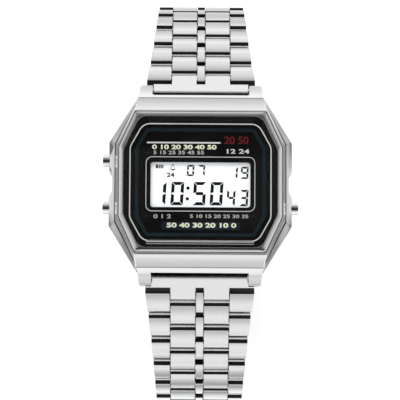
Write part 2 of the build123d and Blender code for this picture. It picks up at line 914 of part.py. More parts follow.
def clasp_tube_bar():
    """Spring bar of the last lower link, its tips drawn in so that the leaf can leave the link."""
    y, z = tube_place()
    half = outer_start - tongue_play + tube_tip
    return rod(pin_radius, -half, half, y, z)


def case_parts():
    parts = {
        "case_body": case_body(),
        "bezel": bezel(),
        "crystal": crystal(),
        "crystal_gasket": crystal_gasket(),
        "face_plate": face_plate(),
        "lcd_panel": lcd_panel(),
        "led_lamp": led_lamp(),
        "module_frame": module_frame(),
        "contact_strips": contact_strips(),
        "circuit_board": circuit_board(),
        "circuit_chips": circuit_chips(),
        "battery_cell": battery_cell(),
        "battery_clamp": battery_clamp(),
        "switch_springs": switch_springs(),
        "piezo_disc": piezo_disc(),
        "back_gasket": back_gasket(),
        "case_back": case_back(),
        "back_screws": back_screws(),
        "spring_bar_upper": spring_bar(),
        "spring_bar_lower": mirrored(spring_bar()),
    }
    seals = []
    for name, (side, y) in button_places().items():
        parts["pusher_" + name] = button_plunger(side, y)
        parts["pusher_spring_" + name] = button_spring(side, y)
        seals.append(button_seal(side, y))
    parts["pusher_seals"] = seals
    return parts


def bracelet_parts():
    parts = {"end_link_upper": end_link(), "end_link_lower": [mirrored(solid) for solid in end_link()]}
    count = len(link_slopes_deg)
    for number in range(1, count + 1):
        last = number == count
        upper = put_link(bracelet_link(number, last_upper=last), number)
        lower = put_link(bracelet_link(number, last_lower=last), number)
        parts[f"link_upper_{number:02d}"] = upper
        parts[f"link_lower_{number:02d}"] = [mirrored(solid) for solid in lower]
    return parts


def clasp_parts():
    return {
        "clasp_cover": clasp_cover(),
        "clasp_catch": clasp_catch(),
        "clasp_hinge_pin": clasp_hinge_pin(),
        "clasp_end_bar": clasp_end_bar(),
        "clasp_middle_leaf": clasp_middle_leaf(),
        "clasp_fold_pin": clasp_fold_pin(),
        "clasp_inner_leaf": clasp_inner_leaf(),
        "clasp_tube_bar": clasp_tube_bar(),
    }


def solids_of(shape):
    """Every separate solid in a shape or a list of shapes."""
    shapes = shape if isinstance(shape, list) else [shape]
    return [solid for item in shapes for solid in item.solids()]


os.makedirs("parts", exist_ok=True)
for node, shape in {**case_parts(), **bracelet_parts(), **clasp_parts()}.items():
    export_step(Compound(solids_of(shape)), f"parts/{node}.step")
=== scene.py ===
"""Looks of a digital wristwatch on a steel bracelet, closed as when worn, dial up.

Each class below is one sub-assembly of the watch. Its fields are sizes in millimetres, and its build
method makes the pieces and dresses them. Meshes are drawn in millimetres and put in metres at the end.
"""

import json
import logging
import math
from dataclasses import astuple, dataclass
from enum import Enum
from typing import Callable, Iterable, Sequence

import bmesh
import bpy
from bmesh.types import BMesh, BMFace, BMVert
from bpy.types import ID, Material, Mesh, Node, NodeOutputs, NodeSocket, NodeTree, Object
from mathutils import Matrix, Vector


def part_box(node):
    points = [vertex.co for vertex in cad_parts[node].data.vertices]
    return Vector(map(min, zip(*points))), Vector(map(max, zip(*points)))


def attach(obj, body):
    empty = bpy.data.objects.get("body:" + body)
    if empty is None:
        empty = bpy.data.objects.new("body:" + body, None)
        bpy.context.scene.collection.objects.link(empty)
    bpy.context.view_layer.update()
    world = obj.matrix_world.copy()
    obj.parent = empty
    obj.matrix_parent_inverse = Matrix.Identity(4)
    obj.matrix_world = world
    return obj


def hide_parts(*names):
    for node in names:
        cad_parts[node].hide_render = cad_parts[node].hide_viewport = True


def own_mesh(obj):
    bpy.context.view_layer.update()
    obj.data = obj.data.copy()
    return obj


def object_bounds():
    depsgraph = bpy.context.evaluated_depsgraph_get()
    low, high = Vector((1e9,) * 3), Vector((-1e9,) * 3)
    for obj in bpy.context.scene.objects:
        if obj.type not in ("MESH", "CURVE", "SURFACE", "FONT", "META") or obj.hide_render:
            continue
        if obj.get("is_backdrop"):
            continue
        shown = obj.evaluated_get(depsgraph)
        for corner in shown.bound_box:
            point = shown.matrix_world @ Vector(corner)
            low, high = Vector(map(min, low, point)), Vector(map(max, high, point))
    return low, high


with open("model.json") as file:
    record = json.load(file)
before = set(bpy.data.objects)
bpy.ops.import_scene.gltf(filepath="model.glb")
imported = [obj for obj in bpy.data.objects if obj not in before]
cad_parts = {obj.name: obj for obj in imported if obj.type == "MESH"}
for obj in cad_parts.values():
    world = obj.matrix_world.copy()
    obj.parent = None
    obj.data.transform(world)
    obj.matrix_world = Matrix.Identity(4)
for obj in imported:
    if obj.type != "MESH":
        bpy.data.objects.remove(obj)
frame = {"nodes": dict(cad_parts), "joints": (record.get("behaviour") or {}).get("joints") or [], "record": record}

log = logging.getLogger("watch")

MM = 0.001
SHARP_SLOT = 2  # from this material slot on, the edges of a face stay sharp
FLAT_WEIGHT = 90  # how strongly large faces keep their shading flat up to their broken edges
RIM_RISE = 0.17  # how much nearer the middle than in the CAD the bezel's and the crystal's lower half lie
STEEP = 0.8  # a face looks along an axis where its normal's part on it is above this
LEVEL = 0.99  # a face is level where its normal's upward part is above this
NOISE_LOW, NOISE_HIGH = 0.3, 0.7  # most values of a noise texture lie between these
WHITE = (1.0, 1.0, 1.0, 1.0)
GRAIN = "grain"  # the links' attribute that their metal's lines follow
Triple = tuple[float, float, float]
Colour = Triple
Point = tuple[float, float]
Bar = tuple[float, float, float, float]  # left end, right end, middle line and height
Levels = tuple[Point, ...]


class Brushing(Enum):
    """Which way the polishing lines run on a metal piece, as the share of a line's length on each axis."""

    ACROSS = (1.0, 0.0, 0.0)
    ALONG = (0.0, 1.0, 0.0)
    NONE = (0.0, 0.0, 0.0)


class Side(Enum):
    """The two halves of the bracelet, with the way that each leaves the case."""

    UPPER = 1
    LOWER = -1


class NodeMaker:
    """Adds nodes to one tree."""

    def __init__(self, tree: NodeTree) -> None:
        """Takes the tree that the nodes go into."""
        self.tree = tree

    def add(self, kind: str, inputs: dict | None = None, **settings: object) -> Node:
        """Adds a node, sets its properties and fills or joins its inputs.

        Args:
            kind: the node's type.
            inputs: a value or another node's socket for each input, by name or number.
            settings: the node's own properties.

        Returns:
            The new node.
        """
        node = self.tree.nodes.new(kind)
        for key, value in settings.items():
            setattr(node, key, value)
        for key, value in (inputs or {}).items():
            if isinstance(value, NodeSocket):
                self.tree.links.new(value, node.inputs[key])
            else:
                node.inputs[key].default_value = value
        return node

    def maths(self, operation: str, *terms: object) -> NodeSocket:
        """One step of arithmetic on numbers or sockets."""
        return self.add("ShaderNodeMath", dict(enumerate(terms)), operation=operation).outputs[0]

    def axes(self, place: NodeSocket) -> NodeOutputs:
        """The three numbers of a place or a direction, by the axis's name."""
        return self.add("ShaderNodeSeparateXYZ", {0: place}).outputs


class ShaderTree(NodeMaker):
    """One material and the nodes that make it."""

    def __init__(self, name: str) -> None:
        """Makes an empty material with an output.

        Args:
            name: the material's name.
        """
        self.material = bpy.data.materials.new(name)
        self.material.use_nodes = True
        super().__init__(self.material.node_tree)
        self.tree.nodes.clear()
        self.output = self.add("ShaderNodeOutputMaterial")

    def place(self, attribute: str = "") -> NodeSocket:
        """Where a point lies: on the piece itself, or as a mesh attribute says.

        Args:
            attribute: the attribute's name, or nothing for the piece's own place.

        Returns:
            The socket with the place.
        """
        if attribute:
            return self.add("ShaderNodeAttribute", attribute_name=attribute).outputs["Vector"]
        return self.add("ShaderNodeTexCoord").outputs["Object"]

    def noise(
        self, place: NodeSocket, scale: float, detail: float = 2.0, contrast: float = 0.5
    ) -> NodeSocket:
        """An uneven pattern of numbers from 0 to 1.

        Args:
            place: where the pattern's points lie.
            scale: how many of its features go into one unit of place.
            detail: how many finer layers it has.
            contrast: how strong each finer layer is.

        Returns:
            The socket with the number.
        """
        inputs = {"Vector": place, "Scale": scale, "Detail": detail, "Roughness": contrast}
        return self.add("ShaderNodeTexNoise", inputs).outputs["Fac"]

    def mixed(self, factor: NodeSocket, tint: Colour, loss: float) -> NodeSocket:
        """A colour that darkens where a pattern's number is low.

        Args:
            factor: the socket with the pattern's number.
            tint: the colour where the number is high.
            loss: the share of the colour that is lost where it is low.

        Returns:
            The socket with the mixed colour.
        """
        ramp = self.add("ShaderNodeValToRGB", {"Fac": factor})
        stops = ((NOISE_LOW, 1 - loss), (NOISE_HIGH, 1.0))
        for element, (position, share) in zip(ramp.color_ramp.elements, stops):
            element.position = position
            element.color = (*(part * share for part in tint), 1.0)
        return ramp.outputs["Color"]

    def bump(self, height: NodeSocket, depth: float, strength: float) -> NodeSocket:
        """The normal of a surface that a pattern raises by some millimetres.

        Args:
            height: the socket with the pattern's number.
            depth: how far it raises the surface.
            strength: how much of that shows.

        Returns:
            The socket with the normal.
        """
        inputs = {"Height": height, "Distance": depth * MM, "Strength": strength}
        return self.add("ShaderNodeBump", inputs).outputs[0]

    def finish(self, shader: Node) -> Material:
        """Joins the last shader to the output and gives back the material."""
        self.tree.links.new(shader.outputs[0], self.output.inputs["Surface"])
        return self.material


@dataclass(frozen=True)
class Metal:
    """Polished or brushed metal with faint lines and slight handling marks.

    Attributes:
        roughness: how blurred its reflections are.
        spread: how much the roughness changes from line to line.
        streak: how much darker the darkest lines are.
        brushing: which way the lines run.
        line_detail: how many finer layers the lines have.
        line_contrast: how strong each finer layer is.
        relief: how deep the lines are cut.
        relief_strength: how much of that depth shows.
        attribute: a mesh attribute that the lines follow, or nothing for the piece's own place.
        mark_depth: how much rougher the metal is where it is marked.
    """

    name: str
    tint: Colour = (0.80, 0.80, 0.81)
    roughness: float = 0.2
    spread: float = 0.06
    streak: float = 0.06
    brushing: Brushing = Brushing.ALONG
    line_width: float = 0.12
    line_length: float = 9.0
    line_detail: float = 3.0
    line_contrast: float = 0.65
    relief: float = 0.0006
    relief_strength: float = 0.6
    attribute: str = ""
    mark_size: float = 3.5
    mark_depth: float = 0.05
    least_roughness: float = 0.02

    def material(self) -> Material:
        """Builds the material.

        Returns:
            A metal whose lines run the chosen way.
        """
        shader = ShaderTree(self.name)
        place = shader.place(self.attribute)
        lines_at = shader.add("ShaderNodeMapping", {"Vector": place, "Scale": self.line_scale()})
        lines = shader.noise(lines_at.outputs[0], 1.0, self.line_detail, self.line_contrast)
        marks = shader.noise(place, self.per_unit(self.mark_size))
        rough = shader.add(
            "ShaderNodeMapRange",
            {
                "Value": lines,
                "From Min": NOISE_LOW,
                "From Max": NOISE_HIGH,
                "To Min": max(self.roughness - self.spread, self.least_roughness),
                "To Max": self.roughness + self.spread,
            },
        )
        body = shader.add(
            "ShaderNodeBsdfPrincipled",
            {
                "Base Color": shader.mixed(lines, self.tint, self.streak),
                "Metallic": 1.0,
                "Roughness": shader.maths("MULTIPLY_ADD", marks, self.mark_depth, rough.outputs["Result"]),
                "Normal": shader.bump(lines, self.relief, self.relief_strength),
            },
        )
        return shader.finish(body)

    def per_unit(self, size: float) -> float:
        """How many times a feature of that many millimetres goes into one unit of the pattern's place."""
        return 1.0 / size if self.attribute else 1.0 / (size * MM)

    def line_scale(self) -> Triple:
        """The noise's scale on each axis: fine across the lines and coarse along them.

        Returns:
            The scale on X, Y and Z.
        """
        if self.brushing is Brushing.NONE:
            return (self.per_unit(self.line_length),) * 3
        return tuple(
            self.per_unit(self.line_length if share else self.line_width) for share in self.brushing.value
        )


@dataclass(frozen=True)
class Moulded:
    """Plastic, rubber, laminate or ink with a fine grain and uneven colour.

    Attributes:
        roughness: how matt it is.
        grain_detail: how many finer layers the grain has.
        relief: how deep the grain is.
        relief_strength: how much of that depth shows.
        variation: how much the colour changes from place to place.
        glow: how much light it gives of itself, a painted glow with no lamp behind it.
    """

    name: str
    tint: Colour
    roughness: float = 0.5
    grain_size: float = 0.2
    grain_detail: float = 3.0
    relief: float = 0.004
    relief_strength: float = 0.5
    variation: float = 0.12
    specular: float = 0.5
    glow: float = 0.0

    def material(self) -> Material:
        """Builds the material.

        Returns:
            A plain dielectric with grain.
        """
        shader = ShaderTree(self.name)
        grain = shader.noise(shader.place(), 1.0 / (self.grain_size * MM), self.grain_detail)
        body = shader.add(
            "ShaderNodeBsdfPrincipled",
            {
                "Base Color": shader.mixed(grain, self.tint, self.variation),
                "Roughness": self.roughness,
                "Specular IOR Level": self.specular,
                "Emission Color": WHITE,
                "Emission Strength": self.glow,
                "Normal": shader.bump(grain, self.relief, self.relief_strength),
            },
        )
        return shader.finish(body)


@dataclass(frozen=True)
class ClearGlass:
    """Mineral glass that mirrors by angle and lets the rest through unbent.

    Attributes:
        roughness: how blurred its reflections are where it is clean.
        index: its index of refraction, for how much it mirrors at each angle.
    """

    name: str = "crystal_clear"
    tint: Colour = (0.97, 0.98, 0.985)
    roughness: float = 0.015
    smear_size: float = 4.0
    index: float = 1.22

    def material(self) -> Material:
        """Builds the material.

        Returns:
            A see-through shader mixed with a gloss on its outer faces.
        """
        shader = ShaderTree(self.name)
        through = shader.add("ShaderNodeBsdfTransparent", {"Color": (*self.tint, 1.0)})
        smear = shader.noise(shader.place(), 1.0 / (self.smear_size * MM))
        rough = shader.maths("MULTIPLY_ADD", smear, self.roughness, self.roughness)
        gloss = shader.add("ShaderNodeBsdfAnisotropic", {"Roughness": rough})
        angle = shader.add("ShaderNodeFresnel", {"IOR": self.index})
        behind = shader.add("ShaderNodeNewGeometry").outputs["Backfacing"]
        share = shader.maths("MULTIPLY", angle.outputs[0], shader.maths("SUBTRACT", 1.0, behind))
        mixed = shader.add("ShaderNodeMixShader", {0: share, 1: through.outputs[0], 2: gloss.outputs[0]})
        return shader.finish(mixed)


@dataclass(frozen=True)
class Octagon:
    """Long octagon about the dial's centre: width on X, length on Y, flank and end its straight sides."""

    width: float
    flank: float
    end: float
    length: float

    def inset(self, amount: float) -> "Octagon":
        """The octagon moved inwards by amount on every side.

        Args:
            amount: how far each side moves in.

        Returns:
            The smaller octagon.
        """
        side, flat = self.width / 2, self.flank / 2
        tip, corner = self.length / 2, self.end / 2
        run, rise = side - corner, tip - flat
        slant = math.hypot(run, rise)
        reach = (rise * side + run * flat) / slant - amount
        new_side, new_tip = side - amount, tip - amount
        new_flat = (reach * slant - rise * new_side) / run
        new_corner = (reach * slant - run * new_tip) / rise
        return Octagon(new_side * 2, new_flat * 2, new_corner * 2, new_tip * 2)

    def towards(self, other: "Octagon", share: float) -> "Octagon":
        """The octagon that lies a share of the way to another one.

        Args:
            other: the octagon at the end of the way.
            share: how much of the way.

        Returns:
            The octagon between them.
        """
        pairs = zip(astuple(self), astuple(other))
        return Octagon(*(start + (stop - start) * share for start, stop in pairs))

    def corners(self) -> list[Point]:
        """The eight corners, anticlockwise from the lower right.

        Returns:
            Their places.
        """
        side, flat = self.width / 2, self.flank / 2
        tip, corner = self.length / 2, self.end / 2
        return [
            (side, -flat), (side, flat), (corner, tip), (-corner, tip),
            (-side, flat), (-side, -flat), (-corner, -tip), (corner, -tip),
        ]


def rounded(corners: Sequence[Point], radius: float, steps: int = 6) -> list[Point]:
    """Rounds the corners of a closed outline.

    Args:
        corners: the outline's corners, in order.
        radius: radius of each corner.
        steps: straight pieces in each corner's arc.

    Returns:
        The outline's points.
    """
    points: list[Point] = []
    count = len(corners)
    for index, corner in enumerate(corners):
        here = Vector(corner)
        before = (Vector(corners[index - 1]) - here).normalized()
        after = (Vector(corners[(index + 1) % count]) - here).normalized()
        half = before.angle(after) / 2
        centre = here + (before + after).normalized() * (radius / math.sin(half))
        start = here + before * (radius / math.tan(half)) - centre
        sweep = (math.pi - half * 2) * (1 if before.x * after.y - before.y * after.x < 0 else -1)
        for step in range(steps + 1):
            turned = Matrix.Rotation(sweep * step / steps, 2) @ start
            points.append(tuple(centre + turned))
    return points


def box_corners(width: float, length: float, x: float = 0.0, y: float = 0.0) -> list[Point]:
    """The corners of a rectangle about x, y, anticlockwise.

    Args:
        width: its size on X.
        length: its size on Y.
        x: its middle on X.
        y: its middle on Y.

    Returns:
        The four corners.
    """
    return [
        (x + width / 2, y - length / 2), (x + width / 2, y + length / 2),
        (x - width / 2, y + length / 2), (x - width / 2, y - length / 2),
    ]


def walls(shape: BMesh, low: Sequence[BMVert], high: Sequence[BMVert]) -> list[BMFace]:
    """Joins two closed rows of corners with faces.

    Args:
        shape: the shape that the corners are in.
        low: the first row.
        high: the second row, with as many corners.

    Returns:
        The new faces.
    """
    corners = zip(low, [*low[1:], low[0]], [*high[1:], high[0]], high)
    return [shape.faces.new(face) for face in corners]


@dataclass(frozen=True)
class Row:
    """One printed row of plain figures.

    Attributes:
        middle: its middle line.
        weight: how much each stroke is thickened, as a share of the height.
    """

    text: str
    left: float
    right: float
    middle: float
    height: float
    weight: float = 0.02


class Slabs:
    """Thin flat shapes of one ink or film, gathered into one mesh."""

    def __init__(self, bottom: float, thickness: float) -> None:
        """Starts an empty sheet between two heights.

        Args:
            bottom: height of the shapes' underside.
            thickness: how thick they are.
        """
        self.bottom, self.top = bottom, bottom + thickness
        self.shape = bmesh.new()

    def add(self, outline: Sequence[Point]) -> None:
        """Adds a filled outline, given anticlockwise.

        Args:
            outline: the outline's points.
        """
        low = [self.shape.verts.new((x, y, self.bottom)) for x, y in outline]
        high = [self.shape.verts.new((x, y, self.top)) for x, y in outline]
        self.shape.faces.new(reversed(low))
        self.shape.faces.new(high)
        walls(self.shape, low, high)

    def ring(self, outer: Sequence[Point], inner: Sequence[Point]) -> None:
        """Adds the strip between two outlines that have as many points.

        Args:
            outer: the strip's outer edge.
            inner: its inner edge.
        """
        edges = ((outer, self.bottom), (outer, self.top), (inner, self.top), (inner, self.bottom))
        rows = [[self.shape.verts.new((x, y, z)) for x, y in outline] for outline, z in edges]
        for low, high in zip(rows, rows[1:] + rows[:1]):
            walls(self.shape, low, high)

    def bar(self, bar: Bar) -> None:
        """Adds a bar.

        Args:
            bar: its place and size.
        """
        left, right, middle, height = bar
        self.add(box_corners(right - left, height, (left + right) / 2, middle))

    def words(self, row: Row) -> None:
        """Adds one row of plain figures, drawn to fill its place.

        Args:
            row: the figures and their place.
        """
        curve = bpy.data.curves.new("figures", "FONT")
        curve.body, curve.size, curve.offset = row.text, row.height, row.weight * row.height
        curve.extrude = (self.top - self.bottom) / 2
        made = evaluated_mesh(placed("figures", curve))
        corners = [vertex.co for vertex in made.vertices]
        low_x, high_x = min(co.x for co in corners), max(co.x for co in corners)
        low_y, high_y = min(co.y for co in corners), max(co.y for co in corners)
        stretch = (row.right - row.left) / (high_x - low_x)
        rise = row.height / (high_y - low_y)
        fit = Matrix.Diagonal((stretch, rise, 1, 1))
        middle = row.middle - (low_y + high_y) / 2 * rise
        fit.translation = Vector((row.left - low_x * stretch, middle, (self.bottom + self.top) / 2))
        made.transform(fit)
        self.shape.from_mesh(made)

    def piece(self, name: str, body: str, material: Material) -> Object:
        """Makes the sheet a piece that rides on a body.

        Args:
            name: the piece's name.
            body: the body that carries it.
            material: its ink or film.

        Returns:
            The new piece.
        """
        bmesh.ops.recalc_face_normals(self.shape, faces=self.shape.faces)
        mesh = bpy.data.meshes.new(name)
        self.shape.to_mesh(mesh)
        self.shape.free()
        return shown(name, mesh, body, [material])


def placed(name: str, data: ID) -> Object:
    """A new object of some data, in the scene.

    Args:
        name: the object's name.
        data: its mesh, text, camera or light.

    Returns:
        The object.
    """
    made = bpy.data.objects.new(name, data)
    bpy.context.scene.collection.objects.link(made)
    return made


def shown(name: str, mesh: Mesh, body: str, materials: Iterable[Material], scale: float = MM) -> Object:
    """Puts a mesh drawn in millimetres into the scene and lets it ride on a body.

    Args:
        name: the piece's name.
        mesh: its shape.
        body: the body that carries it.
        materials: what it is made of.
        scale: metres in one unit of the mesh.

    Returns:
        The new piece.
    """
    mesh.transform(Matrix.Scale(scale, 4))
    wanted = list(materials)
    if wanted != list(mesh.materials):
        mesh.materials.clear()
        for material in wanted:
            mesh.materials.append(material)
    piece = placed(name, mesh)
    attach(piece, body)
    log.info("%s rides on %s with %d faces", name, body, len(mesh.polygons))
    return piece


def body_of_node(node: str) -> str:
    """The body that carries a node of the frame."""
    return next(body for body, members in frame["record"]["behaviour"]["bodies"].items() if node in members)


Shaping = Callable[[BMesh], None]


def eased(
    node: str, materials: Sequence[Material], width: float, segments: int = 2,
    broad: float = 0.6, shaping: Shaping | None = None,
) -> Object:
    """Replaces a node by a merged copy whose edges are broken as a polisher leaves them.

    Args:
        node: the node to stand for.
        materials: what it is made of: its polished metal first, then the near-black metal painted as shade in gaps
        and at joints, then what lines and recesses with sharp edges wear.
        width: how broad the broken edges are.
        segments: faces across each broken edge.
        broad: least area in square millimetres of the faces that meet at a broken edge.
        shaping: further work on the merged shape, before its edges are broken.

    Returns:
        The new piece.
    """
    holder = placed(node + "_eased", merged_copy(node, broad, shaping))
    for material in materials:
        holder.data.materials.append(material)
    bevel = holder.modifiers.new("edge", "BEVEL")
    bevel.width, bevel.segments, bevel.material = width * MM, segments, 0
    bevel.limit_method, bevel.use_clamp_overlap = "WEIGHT", False
    flat = holder.modifiers.new("flat", "WEIGHTED_NORMAL")
    flat.mode, flat.weight, flat.keep_sharp = "FACE_AREA", FLAT_WEIGHT, True
    piece = shown(node + "_body", evaluated_mesh(holder), body_of_node(node), materials, scale=1.0)
    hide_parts(node)
    return piece


def merged_copy(
    node: str, broad: float, shaping: Shaping | None, turn: float = 7.0, crease: float = 32.0,
    weld: float = 0.001, flat: float = 0.6,
) -> Mesh:
    """A copy of a node's mesh with its loose triangles joined into plain faces.

    Args:
        node: the node to copy.
        broad: least area in square millimetres of the faces that meet at an edge to be broken.
        shaping: further work on the merged shape.
        turn: least angle in degrees at which such faces meet.
        crease: angle in degrees past which any other edge is shaded sharp.
        weld: distance in millimetres within which corners become one.
        flat: angle in degrees up to which neighbouring triangles are one plain face.

    Returns:
        The mesh, with the edges to break marked by their bevel weight.
    """
    mesh = frame["nodes"][node].data.copy()
    mesh.materials.clear()
    shape = bmesh.new()
    shape.from_mesh(mesh)
    bmesh.ops.remove_doubles(shape, verts=shape.verts, dist=weld * MM)
    bmesh.ops.dissolve_limit(shape, angle_limit=math.radians(flat), verts=shape.verts, edges=shape.edges)
    if shaping:
        shaping(shape)
    for face in shape.faces:
        face.smooth = True
    weights = shape.edges.layers.float.new("bevel_weight_edge")
    least = broad * MM * MM
    for edge in shape.edges:
        bend = math.degrees(edge.calc_face_angle(0.0))
        large = all(face.calc_area() > least and face.material_index < SHARP_SLOT for face in edge.link_faces)
        broken = large and bend > turn
        edge[weights] = 1.0 if broken else 0.0
        edge.smooth = broken or bend < crease
    shape.to_mesh(mesh)
    shape.free()
    return mesh


def evaluated_mesh(holder: Object) -> Mesh:
    """The mesh that an object's modifiers or its text leave; the object itself is removed.

    Args:
        holder: the object.

    Returns:
        The mesh.
    """
    bpy.context.view_layer.update()
    evaluated = holder.evaluated_get(bpy.context.evaluated_depsgraph_get())
    made = bpy.data.meshes.new_from_object(evaluated)
    bpy.data.objects.remove(holder)
    return made


def dress(nodes: Iterable[str], material: Material) -> None:
    """Gives CAD nodes that stay as they are one material.

    Args:
        nodes: the nodes' names.
        material: what they wear.
    """
    for node in nodes:
        piece = frame["nodes"][node]
        piece.data.materials.clear()
        piece.data.materials.append(material)
        log.info("%s keeps its shape and wears %s", node, material.name)


@dataclass
class CaseAssembly:
    """Case, bezel, back, seals and screws.

    Attributes:
        bezel_joint: the share of the way inwards that its band of painted shade at the joint with the case takes.
        bezel_profile: its section, as shares of the way inwards and how far each lies under the top.
        lug_ends: where the lugs' sloping bands begin and end, from the dial's centre.
        groove: the two edges of the groove across each pair of lugs, from the dial's centre.
        groove_rise: how much nearer the centre the lower groove lies than in the CAD.
        groove_low: the height above which the lower groove's corners move.
        groove_up: upward part of the normal from which a face in the groove is its floor or side.
        lug_fall: how far the lugs fall in a millimetre outwards.
        step_foot: the height at which the flanks' upper step begins.
        step_line: height of the dark line at that foot, painted shade in near-black metal.
        facet_low: the height above which the corner facets are painted darker, as shade.
        facet_turn: part of its normal on Y from which a flank's face is a corner facet.
        flank_slope: parts of its normal on X and Z from which a face belongs to a sloping flank.
        flush: how far from the shelf's height a face still belongs to it.
        hollow: how deep the sloping bands are hollowed.
        hollow_cuts: how many strips each band is cut into.
        band_slope: parts of its normal on Z and outwards from which a face belongs to a sloping band.
        gap_wall: distance from the dial's centre past which a gap's walls wear near-black metal, painted shade.
        gap_near: how far beside a gap's wall a face's middle still counts as on it.
    """

    edge: float = 0.10
    bezel_outline: Octagon = Octagon(29.6, 13.0, 23.7, 25.8)
    bezel_opening: Octagon = Octagon(27.6, 11.9, 21.96, 23.8).inset(-0.12)
    bezel_corner: float = 0.25
    bezel_opening_corner: float = 2.02
    bezel_joint: float = 0.1
    bezel_profile: Levels = (
        (0.0, 0.38), (0.05, 0.32), (0.12, 0.258), (0.22, 0.19), (0.34, 0.13), (0.46, 0.086), (0.58, 0.052),
        (0.7, 0.027), (0.8, 0.011), (0.88, 0.002), (0.93, 0.0), (0.965, 0.007), (0.985, 0.025),
        (0.996, 0.05), (1.0, 0.08),
    )
    back_edge: float = 0.12
    lug_ends: Point = (12.95, 18.0)
    groove: Point = (15.52, 15.78)
    groove_rise: float = 0.35
    groove_low: float = 5.0
    groove_up: float = 0.1
    lug_fall: float = 0.62
    step_foot: float = 5.6
    step_line: float = 0.5
    facet_low: float = 3.4
    facet_turn: float = 0.25
    flank_slope: Point = (0.5, 0.2)
    shelf_height: float = 7.1
    flush: float = 0.01
    hollow: float = 0.08
    hollow_cuts: int = 6
    band_slope: Point = (0.7, 0.4)
    gap_half_width: float = 8.8
    gap_wall: float = 15.85
    gap_near: float = 0.1
    case_metal: Metal = Metal("case_polish", tint=(0.92, 0.92, 0.93), roughness=0.13, streak=0.05)
    # near-black metal: painted shade on the walls of the lugs' gaps and along the flanks' step
    painted_shade_metal: Metal = Metal(
        "case_unpolished", tint=(0.05, 0.049, 0.048), roughness=0.5, brushing=Brushing.NONE
    )
    bezel_metal: Metal = Metal("bezel_polish", roughness=0.12, brushing=Brushing.ACROSS, streak=0.04)
    shelf_metal: Metal = Metal("case_satin", roughness=0.68)
    # a darker copy of the polish: painted shade on the corner facets that face sideways
    facet_shade_metal: Metal = Metal("case_facet", tint=(0.56, 0.56, 0.57), roughness=0.14)
    # near-black metal: painted shade along the bezel's foot where it meets the case
    joint_shade_metal: Metal = Metal(
        "bezel_joint", tint=(0.06, 0.058, 0.055), roughness=0.5, brushing=Brushing.NONE
    )
    back_metal: Metal = Metal(
        "back_brushed", tint=(0.72, 0.72, 0.73), roughness=0.3, brushing=Brushing.ACROSS
    )
    screw_metal: Metal = Metal("screw_satin", tint=(0.65, 0.65, 0.66), roughness=0.25, line_length=1.0)
    bar_metal: Metal = Metal("pin_ground", tint=(0.68, 0.68, 0.69), brushing=Brushing.ACROSS)
    seal: Moulded = Moulded("seal_rubber", (0.02, 0.02, 0.02), roughness=0.7)

    def build(self) -> None:
        """Makes the case's shells and dresses what holds them."""
        recess = self.painted_shade_metal.material()
        polish, satin = self.case_metal.material(), self.shelf_metal.material()
        # slots 1 and 3 hold the painted shade; slot 4 is a darker copy of the polish, painted shade on the corner
        # facets
        case = [polish, recess, satin, recess, self.facet_shade_metal.material()]
        eased("case_body", case, self.edge, shaping=self.shape_lugs)
        bezel = [self.bezel_metal.material(), self.joint_shade_metal.material()]
        eased("bezel", bezel, self.edge, broad=math.inf, shaping=self.loft_bezel)
        eased("case_back", [self.back_metal.material()], self.back_edge)
        dress(["back_screws"], self.screw_metal.material())
        dress(["spring_bar_upper", "spring_bar_lower"], self.bar_metal.material())
        dress(["crystal_gasket", "back_gasket", "pusher_seals"], self.seal.material())

    def loft_bezel(self, shape: BMesh) -> None:
        """Draws the bezel as a convex ring: steep outside, flat inside, with painted shade in near-black metal at
        its foot.

        Args:
            shape: the bezel's merged shape, which the ring takes the place of.
        """
        low, high = (corner.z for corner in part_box("bezel"))
        shape.clear()
        foot = (high - low) / MM
        profile = [(0.0, foot), *self.bezel_profile, (1.0, foot)]
        rows = []
        for share, drop in profile:
            radius = self.bezel_corner + (self.bezel_opening_corner - self.bezel_corner) * share
            points = rounded(self.bezel_outline.towards(self.bezel_opening, share).corners(), radius)
            risen = [(x, y if y > 0 else y + RIM_RISE) for x, y in points]
            rows.append([shape.verts.new((x * MM, y * MM, high - drop * MM)) for x, y in risen])
        for (share, _), lower, upper in zip(profile, rows, rows[1:] + rows[:1]):
            for face in walls(shape, lower, upper):
                # the outer wall's foot gets the painted shade, the rest the polish
                face.material_index = 1 if share < self.bezel_joint else 0
        bmesh.ops.recalc_face_normals(shape, faces=shape.faces)

    def shape_lugs(self, shape: BMesh) -> None:
        """Hollows the lugs' bands as the grinding wheel does, leaves the groove and the shelf satin, and paints
        shade on the gaps' walls.

        Args:
            shape: the case's merged shape.
        """
        for vertex in shape.verts:
            lower = self.groove[0] - self.hollow < -vertex.co.y / MM < self.groove[1] + self.hollow
            if lower and vertex.co.z > self.groove_low * MM:
                vertex.co += Vector((0, 1, self.lug_fall)) * (self.groove_rise * MM)
        grooves = {1: self.groove, -1: tuple(edge - self.groove_rise for edge in self.groove)}
        for way, (start, end) in grooves.items():
            self.hollow_band(shape, way, self.lug_ends[0], start)
            self.hollow_band(shape, way, end, self.lug_ends[1])
        for face in shape.faces:
            middle, normal = face.calc_center_median() / MM, face.normal
            across = abs(normal.y) > STEEP and abs(middle.x) < self.gap_half_width - self.gap_near
            beside = abs(normal.x) > STEEP and abs(abs(middle.x) - self.gap_half_width) < self.gap_near
            start, end = grooves[1 if middle.y > 0 else -1]
            groove = start < abs(middle.y) < end and normal.z > self.groove_up
            shelf = normal.z > LEVEL and abs(middle.z - self.shelf_height) < self.flush
            if groove or shelf:
                face.material_index = SHARP_SLOT
            # the gaps' walls get the near-black metal: painted shade
            elif abs(middle.y) > self.gap_wall and (across or beside):
                face.material_index = 1
        self.line_flanks(shape)

